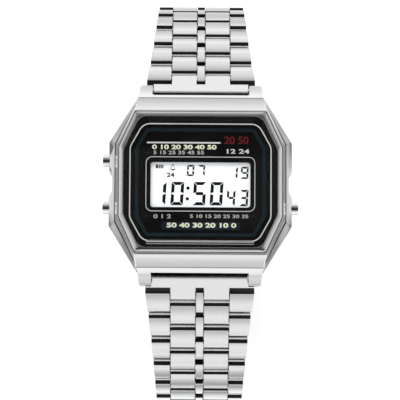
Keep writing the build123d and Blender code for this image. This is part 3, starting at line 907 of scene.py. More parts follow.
    def line_flanks(self, shape: BMesh) -> None:
        """Paints a dark line of shade along the flanks' upper step and paints the corner facets below it darker,
        as shade.

        Args:
            shape: the case's merged shape.
        """
        line_top = self.step_foot + self.step_line
        cut_across(shape, 2, line_top)
        shape.normal_update()
        for face in shape.faces:
            height, normal = face.calc_center_median().z / MM, face.normal
            sloping = abs(normal.x) >= self.flank_slope[0] and normal.z >= self.flank_slope[1]
            if not sloping or height < self.facet_low:
                continue
            # sideways corner facets under the step get the darker copy of the polish: painted shade
            if height < self.step_foot and abs(normal.y) > self.facet_turn:
                face.material_index = SHARP_SLOT + 2
            # the band just over the step's foot gets the near-black metal: a painted shade line
            elif self.step_foot < height < line_top:
                face.material_index = SHARP_SLOT + 1

    def hollow_band(self, shape: BMesh, way: int, start: float, end: float) -> None:
        """Sinks one sloping band between two distances from the dial's centre.

        Args:
            shape: the case's merged shape.
            way: 1 for the upper lugs and -1 for the lower ones.
            start: where the band begins.
            end: where it ends.
        """
        for cut in range(self.hollow_cuts + 1):
            cut_across(shape, 1, way * (start + (end - start) * cut / self.hollow_cuts))
        shape.normal_update()
        sunk: dict[BMVert, Vector] = {}
        for vertex in shape.verts:
            share = (vertex.co.y * way / MM - start) / (end - start)
            if not 0 < share < 1:
                continue
            for face in vertex.link_faces:
                if face.normal.z > self.band_slope[0] and face.normal.y * way > self.band_slope[1]:
                    sunk[vertex] = face.normal.copy() * (self.hollow * MM * (1 - (2 * share - 1) ** 2))
        for vertex, depth in sunk.items():
            vertex.co -= depth


def cut_across(shape: BMesh, axis: int, place: float) -> None:
    """Cuts a shape's faces where a plane crosses them, without parting it.

    Args:
        shape: the shape.
        axis: number of the axis that the plane stands square to.
        place: where it meets that axis, in millimetres.
    """
    parts = [*shape.verts, *shape.edges, *shape.faces]
    normal = Vector(float(number == axis) for number in range(3))
    bmesh.ops.bisect_plane(shape, geom=parts, plane_co=normal * (place * MM), plane_no=normal)


@dataclass
class CrystalAssembly:
    """The bevelled glass over the face."""

    edge: float = 0.05
    print_gap: float = 0.04
    glass: ClearGlass = ClearGlass()

    def build(self) -> None:
        """Makes the glass, its underside just clear of the printed face."""
        piece = eased("crystal", [self.glass.material()], self.edge)
        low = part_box("crystal")[0].z
        for vertex in piece.data.vertices:
            if vertex.co.z < low + self.print_gap * MM:
                vertex.co.z += self.print_gap * MM
            if vertex.co.y < 0:
                vertex.co.y += RIM_RISE * MM


@dataclass
class FaceAssembly:
    """Black face with its printed rings, rule, figures and marks."""

    ink_gap: float = 0.006
    ink_thickness: float = 0.012
    ring_outline: Octagon = Octagon(25.66, 12.9, 20.9, 21.5)
    ring_width: float = 0.2
    ring_radius: float = 2.2
    # two lines at six o'clock only: a painted reflection of the bright ring in the crystal's bevel
    ring_reflection_half_width: float = 9.7
    ring_reflection_lines: Levels = ((-10.75, 0.28), (-11.2, 0.07))
    band_outline: Octagon = Octagon(23.6, 12.6, 19.6, 19.7)
    band_width: float = 0.62
    band_radius: float = 1.0
    frame_width: float = 19.75
    frame_length: float = 9.98
    frame_y: float = -0.33
    frame_line: float = 0.12
    frame_radius: float = 1.15
    rule: Bar = (-9.7, 3.57, 7.2, 0.28)
    box: Bar = (-7.03, 7.18, -7.91, 1.42)
    dashes: tuple[Bar, ...] = (
        (-10.08, -8.86, 5.35, 0.16), (-9.79, -8.96, -6.2, 0.16), (8.96, 10.1, -6.16, 0.16),
    )
    bold_row: Row = Row("0 10 20 30 40 50", -8.76, 2.88, 6.4, 0.84, weight=0.035)
    small_row: Row = Row("5 15 25 35 45 55", -8.53, 0.61, 5.4, 0.66)
    corner_row: Row = Row("20 50", 4.27, 8.65, 7.69, 1.4, weight=0.018)
    side_row: Row = Row("12 24", 4.75, 8.8, 5.67, 0.84)
    lower_left_row: Row = Row("0 1 2", -8.42, -5.28, -6.22, 0.74)
    lower_row: Row = Row("5 10 15 20 25 30 35", -1.86, 8.65, -6.17, 0.64)
    box_row: Row = Row("50 40 30 20 10 0", -6.04, 6.49, -7.81, 0.88, weight=0.035)
    silver: Moulded = Moulded("ink_silver", (0.60, 0.58, 0.55), roughness=0.4, variation=0.05, specular=0.1)
    cream: Moulded = Moulded(
        "ink_cream", (0.82, 0.80, 0.60), roughness=0.4, variation=0.3, grain_size=0.7, specular=0.1
    )
    grey: Moulded = Moulded("ink_grey", (0.46, 0.46, 0.43), roughness=0.4, variation=0.2, specular=0.1)
    red: Moulded = Moulded("ink_red", (0.13, 0.012, 0.014), variation=0.1, specular=0.1)
    dark_red: Moulded = Moulded("ink_dark_red", (0.05, 0.006, 0.007), specular=0.1)
    teal: Moulded = Moulded(
        "ink_teal", (0.009, 0.019, 0.025), variation=0.35, grain_size=5.0, specular=0.1
    )
    blue: Moulded = Moulded("ink_blue", (0.008, 0.014, 0.024), variation=0.2, specular=0.1)
    black: Moulded = Moulded(
        "face_gloss", (0.0055, 0.005, 0.0048), roughness=0.3, relief=0.0004, specular=0.05
    )

    def build(self) -> None:
        """Dresses the face plate and prints on it."""
        dress(["face_plate"], self.black.material())
        self.print_rings()
        self.print_sheet("print_cream_figures", self.cream, rows=(self.bold_row, self.box_row), layer=1)
        grey_rows = (self.small_row, self.lower_row, self.lower_left_row)
        self.print_sheet("print_grey_figures", self.grey, rows=grey_rows)
        self.print_sheet("print_silver_figures", self.silver, bars=(self.rule,), rows=(self.side_row,))
        self.print_sheet("print_red_figures", self.red, rows=(self.corner_row,))
        self.print_sheet("print_red_dashes", self.dark_red, bars=self.dashes)
        self.print_sheet("print_blue_box", self.blue, bars=(self.box,))

    def sheet(self, layer: int = 0) -> Slabs:
        """An empty layer of ink on the face, above the layers printed before it."""
        rise = self.ink_gap + layer * (self.ink_thickness + self.ink_gap) / 2
        return Slabs(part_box("face_plate")[1].z / MM + rise, self.ink_thickness)

    def print_sheet(
        self, name: str, ink: Moulded, bars: Sequence[Bar] = (), rows: Sequence[Row] = (), layer: int = 0
    ) -> None:
        """Prints bars and rows of plain figures in one ink.

        Args:
            name: the piece's name.
            ink: what it is printed with.
            bars: its bars.
            rows: its rows of figures.
            layer: how many layers of ink lie under it.
        """
        sheet = self.sheet(layer)
        for bar in bars:
            sheet.bar(bar)
        for row in rows:
            sheet.words(row)
        sheet.piece(name, "case", ink.material())

    def octagon_ring(self, sheet: Slabs, outline: Octagon, width: float, radius: float) -> None:
        """Draws one rounded octagonal line.

        Args:
            sheet: the layer of ink.
            outline: the line's outer edge.
            width: how broad it is.
            radius: rounding of its outer corners.
        """
        inner = outline.inset(width).corners()
        sheet.ring(rounded(outline.corners(), radius), rounded(inner, max(radius - width, width / 4)))

    def print_rings(self) -> None:
        """The bright line near the bezel, the coloured band inside it, the display's frame line, and two silver
        lines below the bright line at six o'clock that are a painted reflection of it in the crystal's bevel.
        """
        line = self.sheet()
        self.octagon_ring(line, self.ring_outline, self.ring_width, self.ring_radius)
        outer = box_corners(self.frame_width, self.frame_length, 0, self.frame_y)
        step = self.frame_line * 2
        inner = box_corners(self.frame_width - step, self.frame_length - step, 0, self.frame_y)
        line.ring(rounded(outer, self.frame_radius), rounded(inner, self.frame_radius - self.frame_line))
        # painted reflection of the ring's lower edge in the crystal's bevel
        for y, thickness in self.ring_reflection_lines:
            line.bar((-self.ring_reflection_half_width, self.ring_reflection_half_width, y, thickness))
        line.piece("print_silver_lines", "case", self.silver.material())
        band = self.sheet()
        self.octagon_ring(band, self.band_outline, self.band_width, self.band_radius)
        band.piece("print_band", "case", self.teal.material())


@dataclass(frozen=True)
class LinkSizes:
    """Sizes that every bracelet link shares: plates, pins and rods.

    Attributes:
        pitch: distance from one pin to the link after the next.
        crown: how far the top rises between its ends.
        top_radius: rounding of a plate's upper ends.
        under_radius: rounding of its lower ends.
        centre_edge: half the width of the middle plate.
        inner_start: where an inner plate begins, from the bracelet's middle.
        outer_start: where an outer plate begins.
        taper_start: how far past that its side is drawn in with the bracelet's taper.
        pin_inset: how far a pin's ends stay inside the plates.
        rod_rise: how far a rod lies above the pins.
        end_slope: how far a face must lean towards the gap before or after it to wear the painted shade.
        side_slope: how far it must lean towards the next column.
        edge_turn: least angle in degrees between two faces whose edge is broken.
        corner_steps: straight pieces in a plate's rounded corner.
        crown_cuts: how many corners the crown's curve has between those of the outline.
    """

    pitch: float = 5.25
    plate: float = 4.15
    centre: float = 4.55
    thickness: float = 2.4
    crown: float = 0.14
    top_radius: float = 0.35
    under_radius: float = 0.55
    edge: float = 0.11
    edge_turn: float = 50.0
    centre_edge: float = 0.68
    inner_start: float = 0.81
    inner_edge: float = 5.31
    outer_start: float = 5.44
    taper_start: float = 0.5
    pin_radius: float = 0.45
    hole_radius: float = 0.48
    pin_inset: float = 0.12
    rod_radius: float = 0.3
    rod_hole_radius: float = 0.32
    rod_rise: float = 0.55
    rod_inset: float = 0.15
    end_slope: float = 0.6
    side_slope: float = 0.8
    corner_steps: int = 3
    crown_cuts: int = 3
    hole_sides: int = 16
    bar_sides: int = 20
    weld: float = 0.0005


class LinkTree(NodeMaker):
    """Geometry Nodes that make one link in its own frame: X along it, Y outwards and Z across it."""

    def __init__(self, sizes: LinkSizes) -> None:
        """Builds the tree once; each link then sets its own widths and counts.

        Args:
            sizes: what all links share.
        """
        super().__init__(bpy.data.node_groups.new("bracelet_link", "GeometryNodeTree"))
        self.sizes = sizes
        self.identifiers: dict[str, str] = {}
        self.tree.interface.new_socket(name="Link", in_out="OUTPUT", socket_type="NodeSocketGeometry")
        self.entry = self.add("NodeGroupInput")
        near = self.named("Near Half Width", "NodeSocketFloat")
        far = self.named("Far Half Width", "NodeSocketFloat")
        pins = self.named("Pin Count", "NodeSocketInt")
        rods = self.named("Rod Count", "NodeSocketInt")
        inner = self.named("Inner Plates", "NodeSocketBool")
        plate_metal = self.named("Plate Metal", "NodeSocketMaterial")
        gap_shade_metal = self.named("Gap Metal", "NodeSocketMaterial")
        rod_metal = self.named("Rod Metal", "NodeSocketMaterial")
        bright = self.dressed(self.ready(self.plates(near, far, inner)), plate_metal)
        # faces looking into the gaps get near-black metal: painted shade
        plates = self.dressed(bright, gap_shade_metal, self.in_gap())
        bars = self.dressed(self.ready(self.bars(far, pins, rods)), rod_metal)
        self.add("NodeGroupOutput", {0: self.join(plates, bars)})

    def named(self, name: str, kind: str) -> NodeSocket:
        """Adds a named input to the tree.

        Args:
            name: the input's name.
            kind: its socket type.

        Returns:
            The socket that gives its value inside the tree.
        """
        socket = self.tree.interface.new_socket(name=name, in_out="INPUT", socket_type=kind)
        self.identifiers[name] = socket.identifier
        return self.entry.outputs[name]

    def ready(self, shape: NodeSocket) -> NodeSocket:
        """A geometry shaded smooth, which keeps its place in the link for the metal's lines to follow.

        Args:
            shape: the geometry.

        Returns:
            The socket with it.
        """
        place = self.add("GeometryNodeInputPosition").outputs[0]
        grain = self.add(
            "GeometryNodeStoreNamedAttribute", {"Geometry": shape, "Name": GRAIN, "Value": place},
            data_type="FLOAT_VECTOR", domain="POINT",
        )
        return self.add("GeometryNodeSetShadeSmooth", {0: grain.outputs[0]}).outputs[0]

    def dressed(self, shape: NodeSocket, metal: NodeSocket, where: object = True) -> NodeSocket:
        """A geometry in one metal, all over or where a socket says.

        Args:
            shape: the geometry.
            metal: the socket with the metal.
            where: the socket that says which faces.

        Returns:
            The socket with the dressed geometry.
        """
        inputs = {"Geometry": shape, "Selection": where, "Material": metal}
        return self.add("GeometryNodeSetMaterial", inputs).outputs[0]

    def in_gap(self) -> NodeSocket:
        """Whether a face looks into the gap before or after its plate, or at the next column, and so wears the
        painted shade.

        Returns:
            The socket that is one where it does.
        """
        normal = self.axes(self.add("GeometryNodeInputNormal").outputs[0])
        end = self.maths("GREATER_THAN", self.maths("ABSOLUTE", normal["X"]), self.sizes.end_slope)
        side = self.maths("GREATER_THAN", self.maths("ABSOLUTE", normal["Z"]), self.sizes.side_slope)
        edge = self.sizes.outer_start + self.sizes.edge
        inside = self.maths("LESS_THAN", self.maths("ABSOLUTE", self.position()["Z"]), edge)
        return self.maths("MAXIMUM", end, self.maths("MULTIPLY", side, inside))

    def position(self) -> NodeOutputs:
        """Where a point lies in the link, by the axis's name."""
        return self.axes(self.add("GeometryNodeInputPosition").outputs[0])

    def join(self, *shapes: NodeSocket) -> NodeSocket:
        """Several geometries as one.

        Args:
            shapes: their sockets.

        Returns:
            The socket with all of them.
        """
        node = self.add("GeometryNodeJoinGeometry")
        for shape in shapes:
            self.tree.links.new(shape, node.inputs[0])
        return node.outputs[0]

    def flipped(self, shape: NodeSocket) -> NodeSocket:
        """A geometry whose faces look the other way."""
        return self.add("GeometryNodeFlipFaces", {0: shape}).outputs[0]

    def only_if(self, wanted: NodeSocket, shape: NodeSocket) -> NodeSocket:
        """A geometry where it is wanted, and nothing elsewhere."""
        inputs = {"Switch": wanted, "True": shape}
        return self.add("GeometryNodeSwitch", inputs, input_type="GEOMETRY").outputs[0]

    def moved(
        self, shape: NodeSocket, place: object, scale: Triple = (1, 1, 1), turn: Triple = (0, 0, 0)
    ) -> NodeSocket:
        """A geometry put at a place, scaled and turned about its own origin first.

        Args:
            shape: the geometry.
            place: how far it moves.
            scale: its scale on each axis.
            turn: its turn about each axis.

        Returns:
            The socket with the moved geometry.
        """
        inputs = {0: shape, "Translation": place, "Rotation": turn, "Scale": scale}
        return self.add("GeometryNodeTransform", inputs).outputs[0]

    def shifted(self, shape: NodeSocket, **parts: NodeSocket) -> NodeSocket:
        """A geometry whose points each move by their own amount on the named axes."""
        shift = self.add("ShaderNodeCombineXYZ", parts)
        return self.add("GeometryNodeSetPosition", {0: shape, "Offset": shift.outputs[0]}).outputs[0]

    def outline(self, length: float) -> NodeSocket:
        """Side view of one plate: a crowned rectangle with rounded ends and its three holes.

        Args:
            length: the plate's length.

        Returns:
            The socket with its filled face.
        """
        sizes = self.sizes
        quad = self.add(
            "GeometryNodeCurvePrimitiveQuadrilateral",
            {"Width": length, "Height": sizes.thickness - sizes.crown}, mode="RECTANGLE",
        )
        low = self.moved(quad.outputs[0], (0, -sizes.crown / 2, 0))
        place = self.position()
        upper = self.maths("GREATER_THAN", place["Y"], 0.0)
        change = sizes.top_radius - sizes.under_radius
        radius = self.maths("MULTIPLY_ADD", upper, change, sizes.under_radius)
        corners = {0: low, "Count": sizes.corner_steps, "Radius": radius}
        soft = self.add("GeometryNodeFilletCurve", corners, mode="POLY")
        fine = self.add("GeometryNodeSubdivideCurve", {0: soft.outputs[0], "Cuts": sizes.crown_cuts})
        share = self.maths("DIVIDE", place["X"], length / 2 - sizes.top_radius)
        bow = self.maths("MAXIMUM", self.maths("SUBTRACT", 1.0, self.maths("MULTIPLY", share, share)), 0.0)
        rise = self.maths("MULTIPLY", self.maths("MULTIPLY", bow, upper), sizes.crown)
        quarter = sizes.pitch / 4
        loops = self.join(
            self.shifted(fine.outputs[0], Y=rise),
            self.hole(sizes.hole_radius, -quarter, 0.0),
            self.hole(sizes.hole_radius, quarter, 0.0),
            self.hole(sizes.rod_hole_radius, 0.0, sizes.rod_rise),
        )
        return self.add("GeometryNodeFillCurve", {0: loops}, mode="NGONS").outputs[0]

    def hole(self, radius: float, along: float, rise: float) -> NodeSocket:
        """The edge of a round hole in a plate.

        Args:
            radius: the hole's radius.
            along: its middle along the plate.
            rise: its middle above the pins.

        Returns:
            The socket with the edge.
        """
        inputs = {"Resolution": self.sizes.hole_sides, "Radius": radius}
        ring = self.add("GeometryNodeCurvePrimitiveCircle", inputs, mode="RADIUS")
        return self.moved(ring.outputs[0], (along, rise, 0))

    def plate(self, face: NodeSocket, width: object, along: float, across: float) -> NodeSocket:
        """A closed plate of some width, put in its place.

        Args:
            face: its filled side view.
            width: its width across the link.
            along: where its middle lies along the link.
            across: where it starts across the link.

        Returns:
            The socket with the closed plate.
        """
        inputs = {"Mesh": face, "Offset": (0, 0, 1), "Offset Scale": width, "Individual": False}
        body = self.add("GeometryNodeExtrudeMesh", inputs, mode="FACES")
        shell = self.join(body.outputs[0], self.flipped(face))
        closed = self.add("GeometryNodeMergeByDistance", {0: shell, "Distance": self.sizes.weld})
        return self.moved(closed.outputs[0], (along, 0, across))

    def tapered(self, shape: NodeSocket, near: NodeSocket, far: NodeSocket) -> NodeSocket:
        """Draws in the outer side of the outer plate from the near to the far half width.

        Args:
            shape: the outer plate.
            near: half the bracelet's width where the link begins.
            far: half its width where the link ends.

        Returns:
            The socket with the tapered plate.
        """
        sizes = self.sizes
        place = self.position()
        outer = self.maths("GREATER_THAN", place["Z"], sizes.outer_start + sizes.taper_start)
        share = self.maths("DIVIDE", self.maths("ADD", place["X"], sizes.pitch / 4), sizes.pitch)
        slip = self.maths("MULTIPLY", self.maths("SUBTRACT", far, near), share)
        return self.shifted(shape, Z=self.maths("MULTIPLY", slip, outer))

    def plates(self, near: NodeSocket, far: NodeSocket, inner: NodeSocket) -> NodeSocket:
        """Both outer plates and, where the link has them, both inner plates and the middle one.

        Args:
            near: half the bracelet's width where the link begins.
            far: half its width where the link ends.
            inner: whether the link has inner plates.

        Returns:
            The socket with the plates.
        """
        sizes = self.sizes
        quarter = sizes.pitch / 4
        side_face = self.outline(sizes.plate)
        width = self.maths("SUBTRACT", near, sizes.outer_start)
        outer = self.tapered(self.plate(side_face, width, quarter, sizes.outer_start), near, far)
        inner_width = sizes.inner_edge - sizes.inner_start
        step = self.plate(side_face, inner_width, quarter * 3, sizes.inner_start)
        half = self.join(outer, self.only_if(inner, step))
        other = self.flipped(self.moved(half, (0, 0, 0), scale=(1, 1, -1)))
        middle = self.plate(self.outline(sizes.centre), sizes.centre_edge * 2, quarter, -sizes.centre_edge)
        return self.join(half, other, self.only_if(inner, middle))

    def bars(self, far: NodeSocket, pins: NodeSocket, rods: NodeSocket) -> NodeSocket:
        """The pins and the rods, as instances along the link that are then made real.

        Args:
            far: half the bracelet's width where the link ends.
            pins: how many pins the link has.
            rods: how many rods it has.

        Returns:
            The socket with the bars.
        """
        sizes = self.sizes
        quarter = sizes.pitch / 4
        pin_length = self.maths("MULTIPLY", self.maths("SUBTRACT", far, sizes.pin_inset), 2.0)
        pin_row = self.row((quarter * 2, 0, 0), pins, self.cylinder(sizes.pin_radius, pin_length))
        reach = self.maths("SUBTRACT", far, sizes.rod_inset)
        rod = self.cylinder(sizes.rod_radius, self.maths("SUBTRACT", reach, sizes.inner_start))
        middle = self.maths("MULTIPLY", self.maths("ADD", reach, sizes.inner_start), 0.5)
        half = self.moved(rod, self.add("ShaderNodeCombineXYZ", {"Z": middle}).outputs[0])
        turned = self.moved(half, (0, 0, 0), turn=(0, math.pi, 0))
        rod_row = self.row((quarter, sizes.rod_rise, 0), rods, self.join(half, turned))
        return self.add("GeometryNodeRealizeInstances", {0: self.join(pin_row, rod_row)}).outputs[0]

    def cylinder(self, radius: float, length: NodeSocket) -> NodeSocket:
        """A round bar across the link.

        Args:
            radius: the bar's radius.
            length: its length.

        Returns:
            The socket with the bar.
        """
        inputs = {"Vertices": self.sizes.bar_sides, "Radius": radius, "Depth": length}
        return self.add("GeometryNodeMeshCylinder", inputs, fill_type="NGON").outputs["Mesh"]

    def row(self, start: Triple, count: NodeSocket, shape: NodeSocket) -> NodeSocket:
        """Copies of a bar, half a pitch apart along the link.

        Args:
            start: where the first copy lies.
            count: how many copies there are.
            shape: the bar.

        Returns:
            The socket with the copies.
        """
        inputs = {"Count": count, "Start Location": start, "Offset": (self.sizes.pitch / 2, 0, 0)}
        points = self.add("GeometryNodeMeshLine", inputs, mode="OFFSET", count_mode="TOTAL")
        copies = {"Points": points.outputs[0], "Instance": shape}
        return self.add("GeometryNodeInstanceOnPoints", copies).outputs[0]


@dataclass
class Bracelet:
    """End links and the two rows of links.

    Attributes:
        taper_pitches: how many pitches the taper runs over.
        end_slopes: outward part of the normal up to which a face of the end link wears the painted shade, up to
        which it is the satin rounding, and from which it wears the painted shade again.
        underside: upward part of the normal under which its faces keep their polish.
    """

    sizes: LinkSizes = LinkSizes()
    width: float = 16.0
    root_width: float = 20.0
    taper_pitches: int = 6
    links: int = 11
    end_edge: float = 0.12
    end_slopes: Triple = (-0.75, 0.3, 0.9)
    underside: float = -0.2
    plate_metal: Metal = Metal(
        "bracelet_brushed", roughness=0.13, spread=0.04, streak=0.07, brushing=Brushing.ACROSS,
        attribute=GRAIN, line_width=0.1, line_length=6.0, mark_depth=0.03,
    )
    # near-black metal: painted shade on the faces inside the gaps between links
    gap_shade_metal: Metal = Metal(
        "link_unpolished", tint=(0.045, 0.044, 0.042), roughness=0.5, brushing=Brushing.NONE, attribute=GRAIN
    )
    rod_metal: Metal = Metal(
        "rod_drawn", tint=(0.93, 0.93, 0.94), roughness=0.45, brushing=Brushing.NONE, attribute=GRAIN
    )
    round_metal: Metal = Metal("end_link_satin", tint=(0.93, 0.93, 0.94), roughness=0.6)
    end_metal: Metal = Metal("end_link_brushed", roughness=0.18)

    def build(self) -> None:
        """Makes both halves of the bracelet."""
        tree = LinkTree(self.sizes)
        metals = {
            "Plate Metal": self.plate_metal.material(),
            "Gap Metal": self.gap_shade_metal.material(),
            "Rod Metal": self.rod_metal.material(),
        }
        gap = metals["Gap Metal"]
        # slots 1 and 2 of the end link hold the painted shade
        end = [self.end_metal.material(), gap, gap, self.round_metal.material()]
        for side in Side:
            name = side.name.lower()
            eased(f"end_link_{name}", end, self.end_edge, shaping=self.darken_rear)
            pivots = self.pivots(name)
            for number in range(1, self.links + 1):
                self.make_link(tree, side, number, pivots, metals)

    def darken_rear(self, shape: BMesh) -> None:
        """Paints shade on the end link behind and beside the link plates, and leaves its rear rounding satin.

        Args:
            shape: the end link's merged shape.
        """
        for face in shape.faces:
            outwards = face.normal.y * math.copysign(1.0, face.calc_center_median().y)
            sideways = abs(face.normal.x)
            if face.normal.z < self.underside:
                continue
            # faces facing back or sideways get the painted shade, or the satin rounding
            if outwards < self.end_slopes[1] and sideways < STEEP:
                face.material_index = SHARP_SLOT + (outwards > self.end_slopes[0])
            elif outwards > self.end_slopes[2] or sideways > STEEP:
                face.material_index = 1

    def half_width(self, place: float) -> float:
        """Half the bracelet's width, place pitches along it."""
        share = max(0.0, 1 - place / self.taper_pitches)
        return (self.width + (self.root_width - self.width) * share ** 2) / 2

    def pivots(self, side: str) -> list[Vector]:
        """Where each link of one half turns, with the clasp's end of the last link.

        Args:
            side: upper or lower.

        Returns:
            The places in millimetres, one more than there are links.
        """
        joints = {joint["name"]: joint for joint in frame["joints"]}
        places = [
            Vector(joints[f"{side}_link_hinge_{number:02d}"]["pos_m"]) / MM
            for number in range(1, self.links + 1)
        ]
        if side == "upper":
            last = Vector(joints["clasp_cover_hinge"]["pos_m"]) / MM
        else:
            low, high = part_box("clasp_tube_bar")
            middle = (low + high) / 2 / MM
            last = places[-1] + (middle - places[-1]) * 2
        return places + [last]

    def make_link(
        self, tree: LinkTree, side: Side, number: int, pivots: Sequence[Vector],
        metals: dict[str, Material],
    ) -> None:
        """Makes one link and lays it from its pivot to the next.

        Args:
            tree: the link's Geometry Nodes.
            side: which half of the bracelet.
            number: its number, counted from the case.
            pivots: where the half's links turn.
            metals: what its plates, the painted shade on their inner faces and its rods are made of, by the tree's
                input.
        """
        last = number == self.links
        open_end = last and side is Side.LOWER
        plain_end = last and side is Side.UPPER
        holder = placed("link", bpy.data.meshes.new("link"))
        nodes = holder.modifiers.new("link", "NODES")
        nodes.node_group = tree.tree
        values = {
            "Near Half Width": self.half_width(number - 1),
            "Far Half Width": self.half_width(number),
            "Pin Count": 0 if open_end else 1 if plain_end else 2,
            "Rod Count": 1 if open_end else 2,
            "Inner Plates": not open_end,
            **metals,
        }
        for name, value in values.items():
            nodes[tree.identifiers[name]] = value
        bevel = holder.modifiers.new("edge", "BEVEL")
        bevel.width, bevel.segments = self.sizes.edge, 2
        bevel.limit_method, bevel.angle_limit = "ANGLE", math.radians(self.sizes.edge_turn)
        bevel.harden_normals, bevel.material = True, 0
        mesh = evaluated_mesh(holder)
        pivot, after = pivots[number - 1], pivots[number]
        along = (after - pivot).normalized()
        across = Vector((side.value, 0, 0))
        outwards = across.cross(along)
        mesh.transform(Matrix.Translation(pivot) @ Matrix((along, outwards, across)).transposed().to_4x4())
        node = f"link_{side.name.lower()}_{number:02d}"
        piece = shown(node + "_body", mesh, body_of_node(node), mesh.materials)
        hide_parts(node)


@dataclass
class Buttons:
    """Three push buttons, each with its coil.

    Attributes:
        coil_foot: how far from the dial's centre a coil's fixed end lies.
        coil_keep: the share of its length that a coil keeps when its button is fully in; not used.
    """

    edge: float = 0.14
    coil_foot: float = 13.86
    coil_keep: float = 0.56
    metal: Metal = Metal(
        "button_polish", tint=(0.95, 0.95, 0.95), roughness=0.035, spread=0.01, streak=0.02,
        brushing=Brushing.NONE, line_length=1.5, relief=0.0002, mark_depth=0.01,
    )
    coil_metal: Metal = Metal("coil_temper", tint=(0.70, 0.70, 0.70), roughness=0.25, brushing=Brushing.NONE)

    def build(self) -> None:
        """Rounds the heads and makes the coils."""
        metal, coil = self.metal.material(), self.coil_metal.material()
        for name in ("light", "mode", "start"):
            eased(f"pusher_{name}", [metal], self.edge, segments=3)
            self.make_coil(name, coil)

    def make_coil(self, name: str, metal: Material) -> None:
        """Makes one button's coil, as the CAD node is.

        Args:
            name: the button's name.
            metal: what the coil is made of.
        """
        node = f"pusher_spring_{name}"
        coil = shown(f"{node}_coil", frame["nodes"][node].data.copy(), body_of_node(node), [metal], scale=1.0)
        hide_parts(node)
        foot = Vector(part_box(node)[0])
        foot.x = math.copysign(self.coil_foot * MM, foot.x)
        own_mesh(coil)


# the strokes of each figure: a on top, then clockwise from b to f, and g across the middle
SEGMENTS = {
    "0": "abcdef", "1": "bc", "2": "abdeg", "3": "abcdg", "4": "bcfg",
    "5": "acdfg", "6": "acdefg", "7": "abc", "8": "abcdefg", "9": "abcdfg",
}


@dataclass(frozen=True)
class Digit:
    """One figure of seven strokes with mitred ends.

    Attributes:
        slant: how far its top leans over, as a share of its height.
        nib: how far a stroke's inner end stays back from the waist, as a share of its thickness.
    """

    width: float
    height: float
    stroke: float
    gap: float = 0.12
    slant: float = 0.06
    nib: float = 0.3

    def strokes(self, figure: str, x: float, y: float) -> list[list[Point]]:
        """The outlines of a figure's strokes, with its lower left corner at x, y.

        Args:
            figure: the figure.
            x: its left edge.
            y: its foot.

        Returns:
            One outline for each stroke, anticlockwise.
        """
        return [
            [(x + px + py * self.slant, y + py) for px, py in self.stroke_outline(name)]
            for name in SEGMENTS[figure]
        ]

    def stroke_outline(self, name: str) -> list[Point]:
        """The outline of one stroke of an upright figure at the origin.

        Args:
            name: the stroke's letter, a to g.

        Returns:
            Its points, anticlockwise.
        """
        wide, tall, bar, gap = self.width, self.height, self.stroke, self.gap / 2
        middle = tall / 2
        lying = [(gap, 0.0), (wide - gap, 0.0), (wide - bar - gap, bar), (bar + gap, bar)]
        if name == "d":
            return lying
        if name == "a":
            return [(px, tall - py) for px, py in reversed(lying)]
        if name == "g":
            half = bar / 2
            return [
                (gap + half, middle), (bar + gap, middle - half), (wide - bar - gap, middle - half),
                (wide - gap - half, middle), (wide - bar - gap, middle + half), (bar + gap, middle + half),
            ]
        inner = middle - bar * self.nib - gap
        right = [(wide, gap), (wide, middle - gap), (wide - bar, inner), (wide - bar, bar + gap)]
        if name in "bf":
            right = [(px, tall - py) for px, py in reversed(right)]
        if name in "ef":
            right = [(wide - px, py) for px, py in reversed(right)]
        return right


@dataclass(frozen=True)
class Figures:
    """One row of the display's figures: what they look like, their foot line, and each with its left edge."""

    digit: Digit
    foot: float
    places: tuple[tuple[str, float], ...]


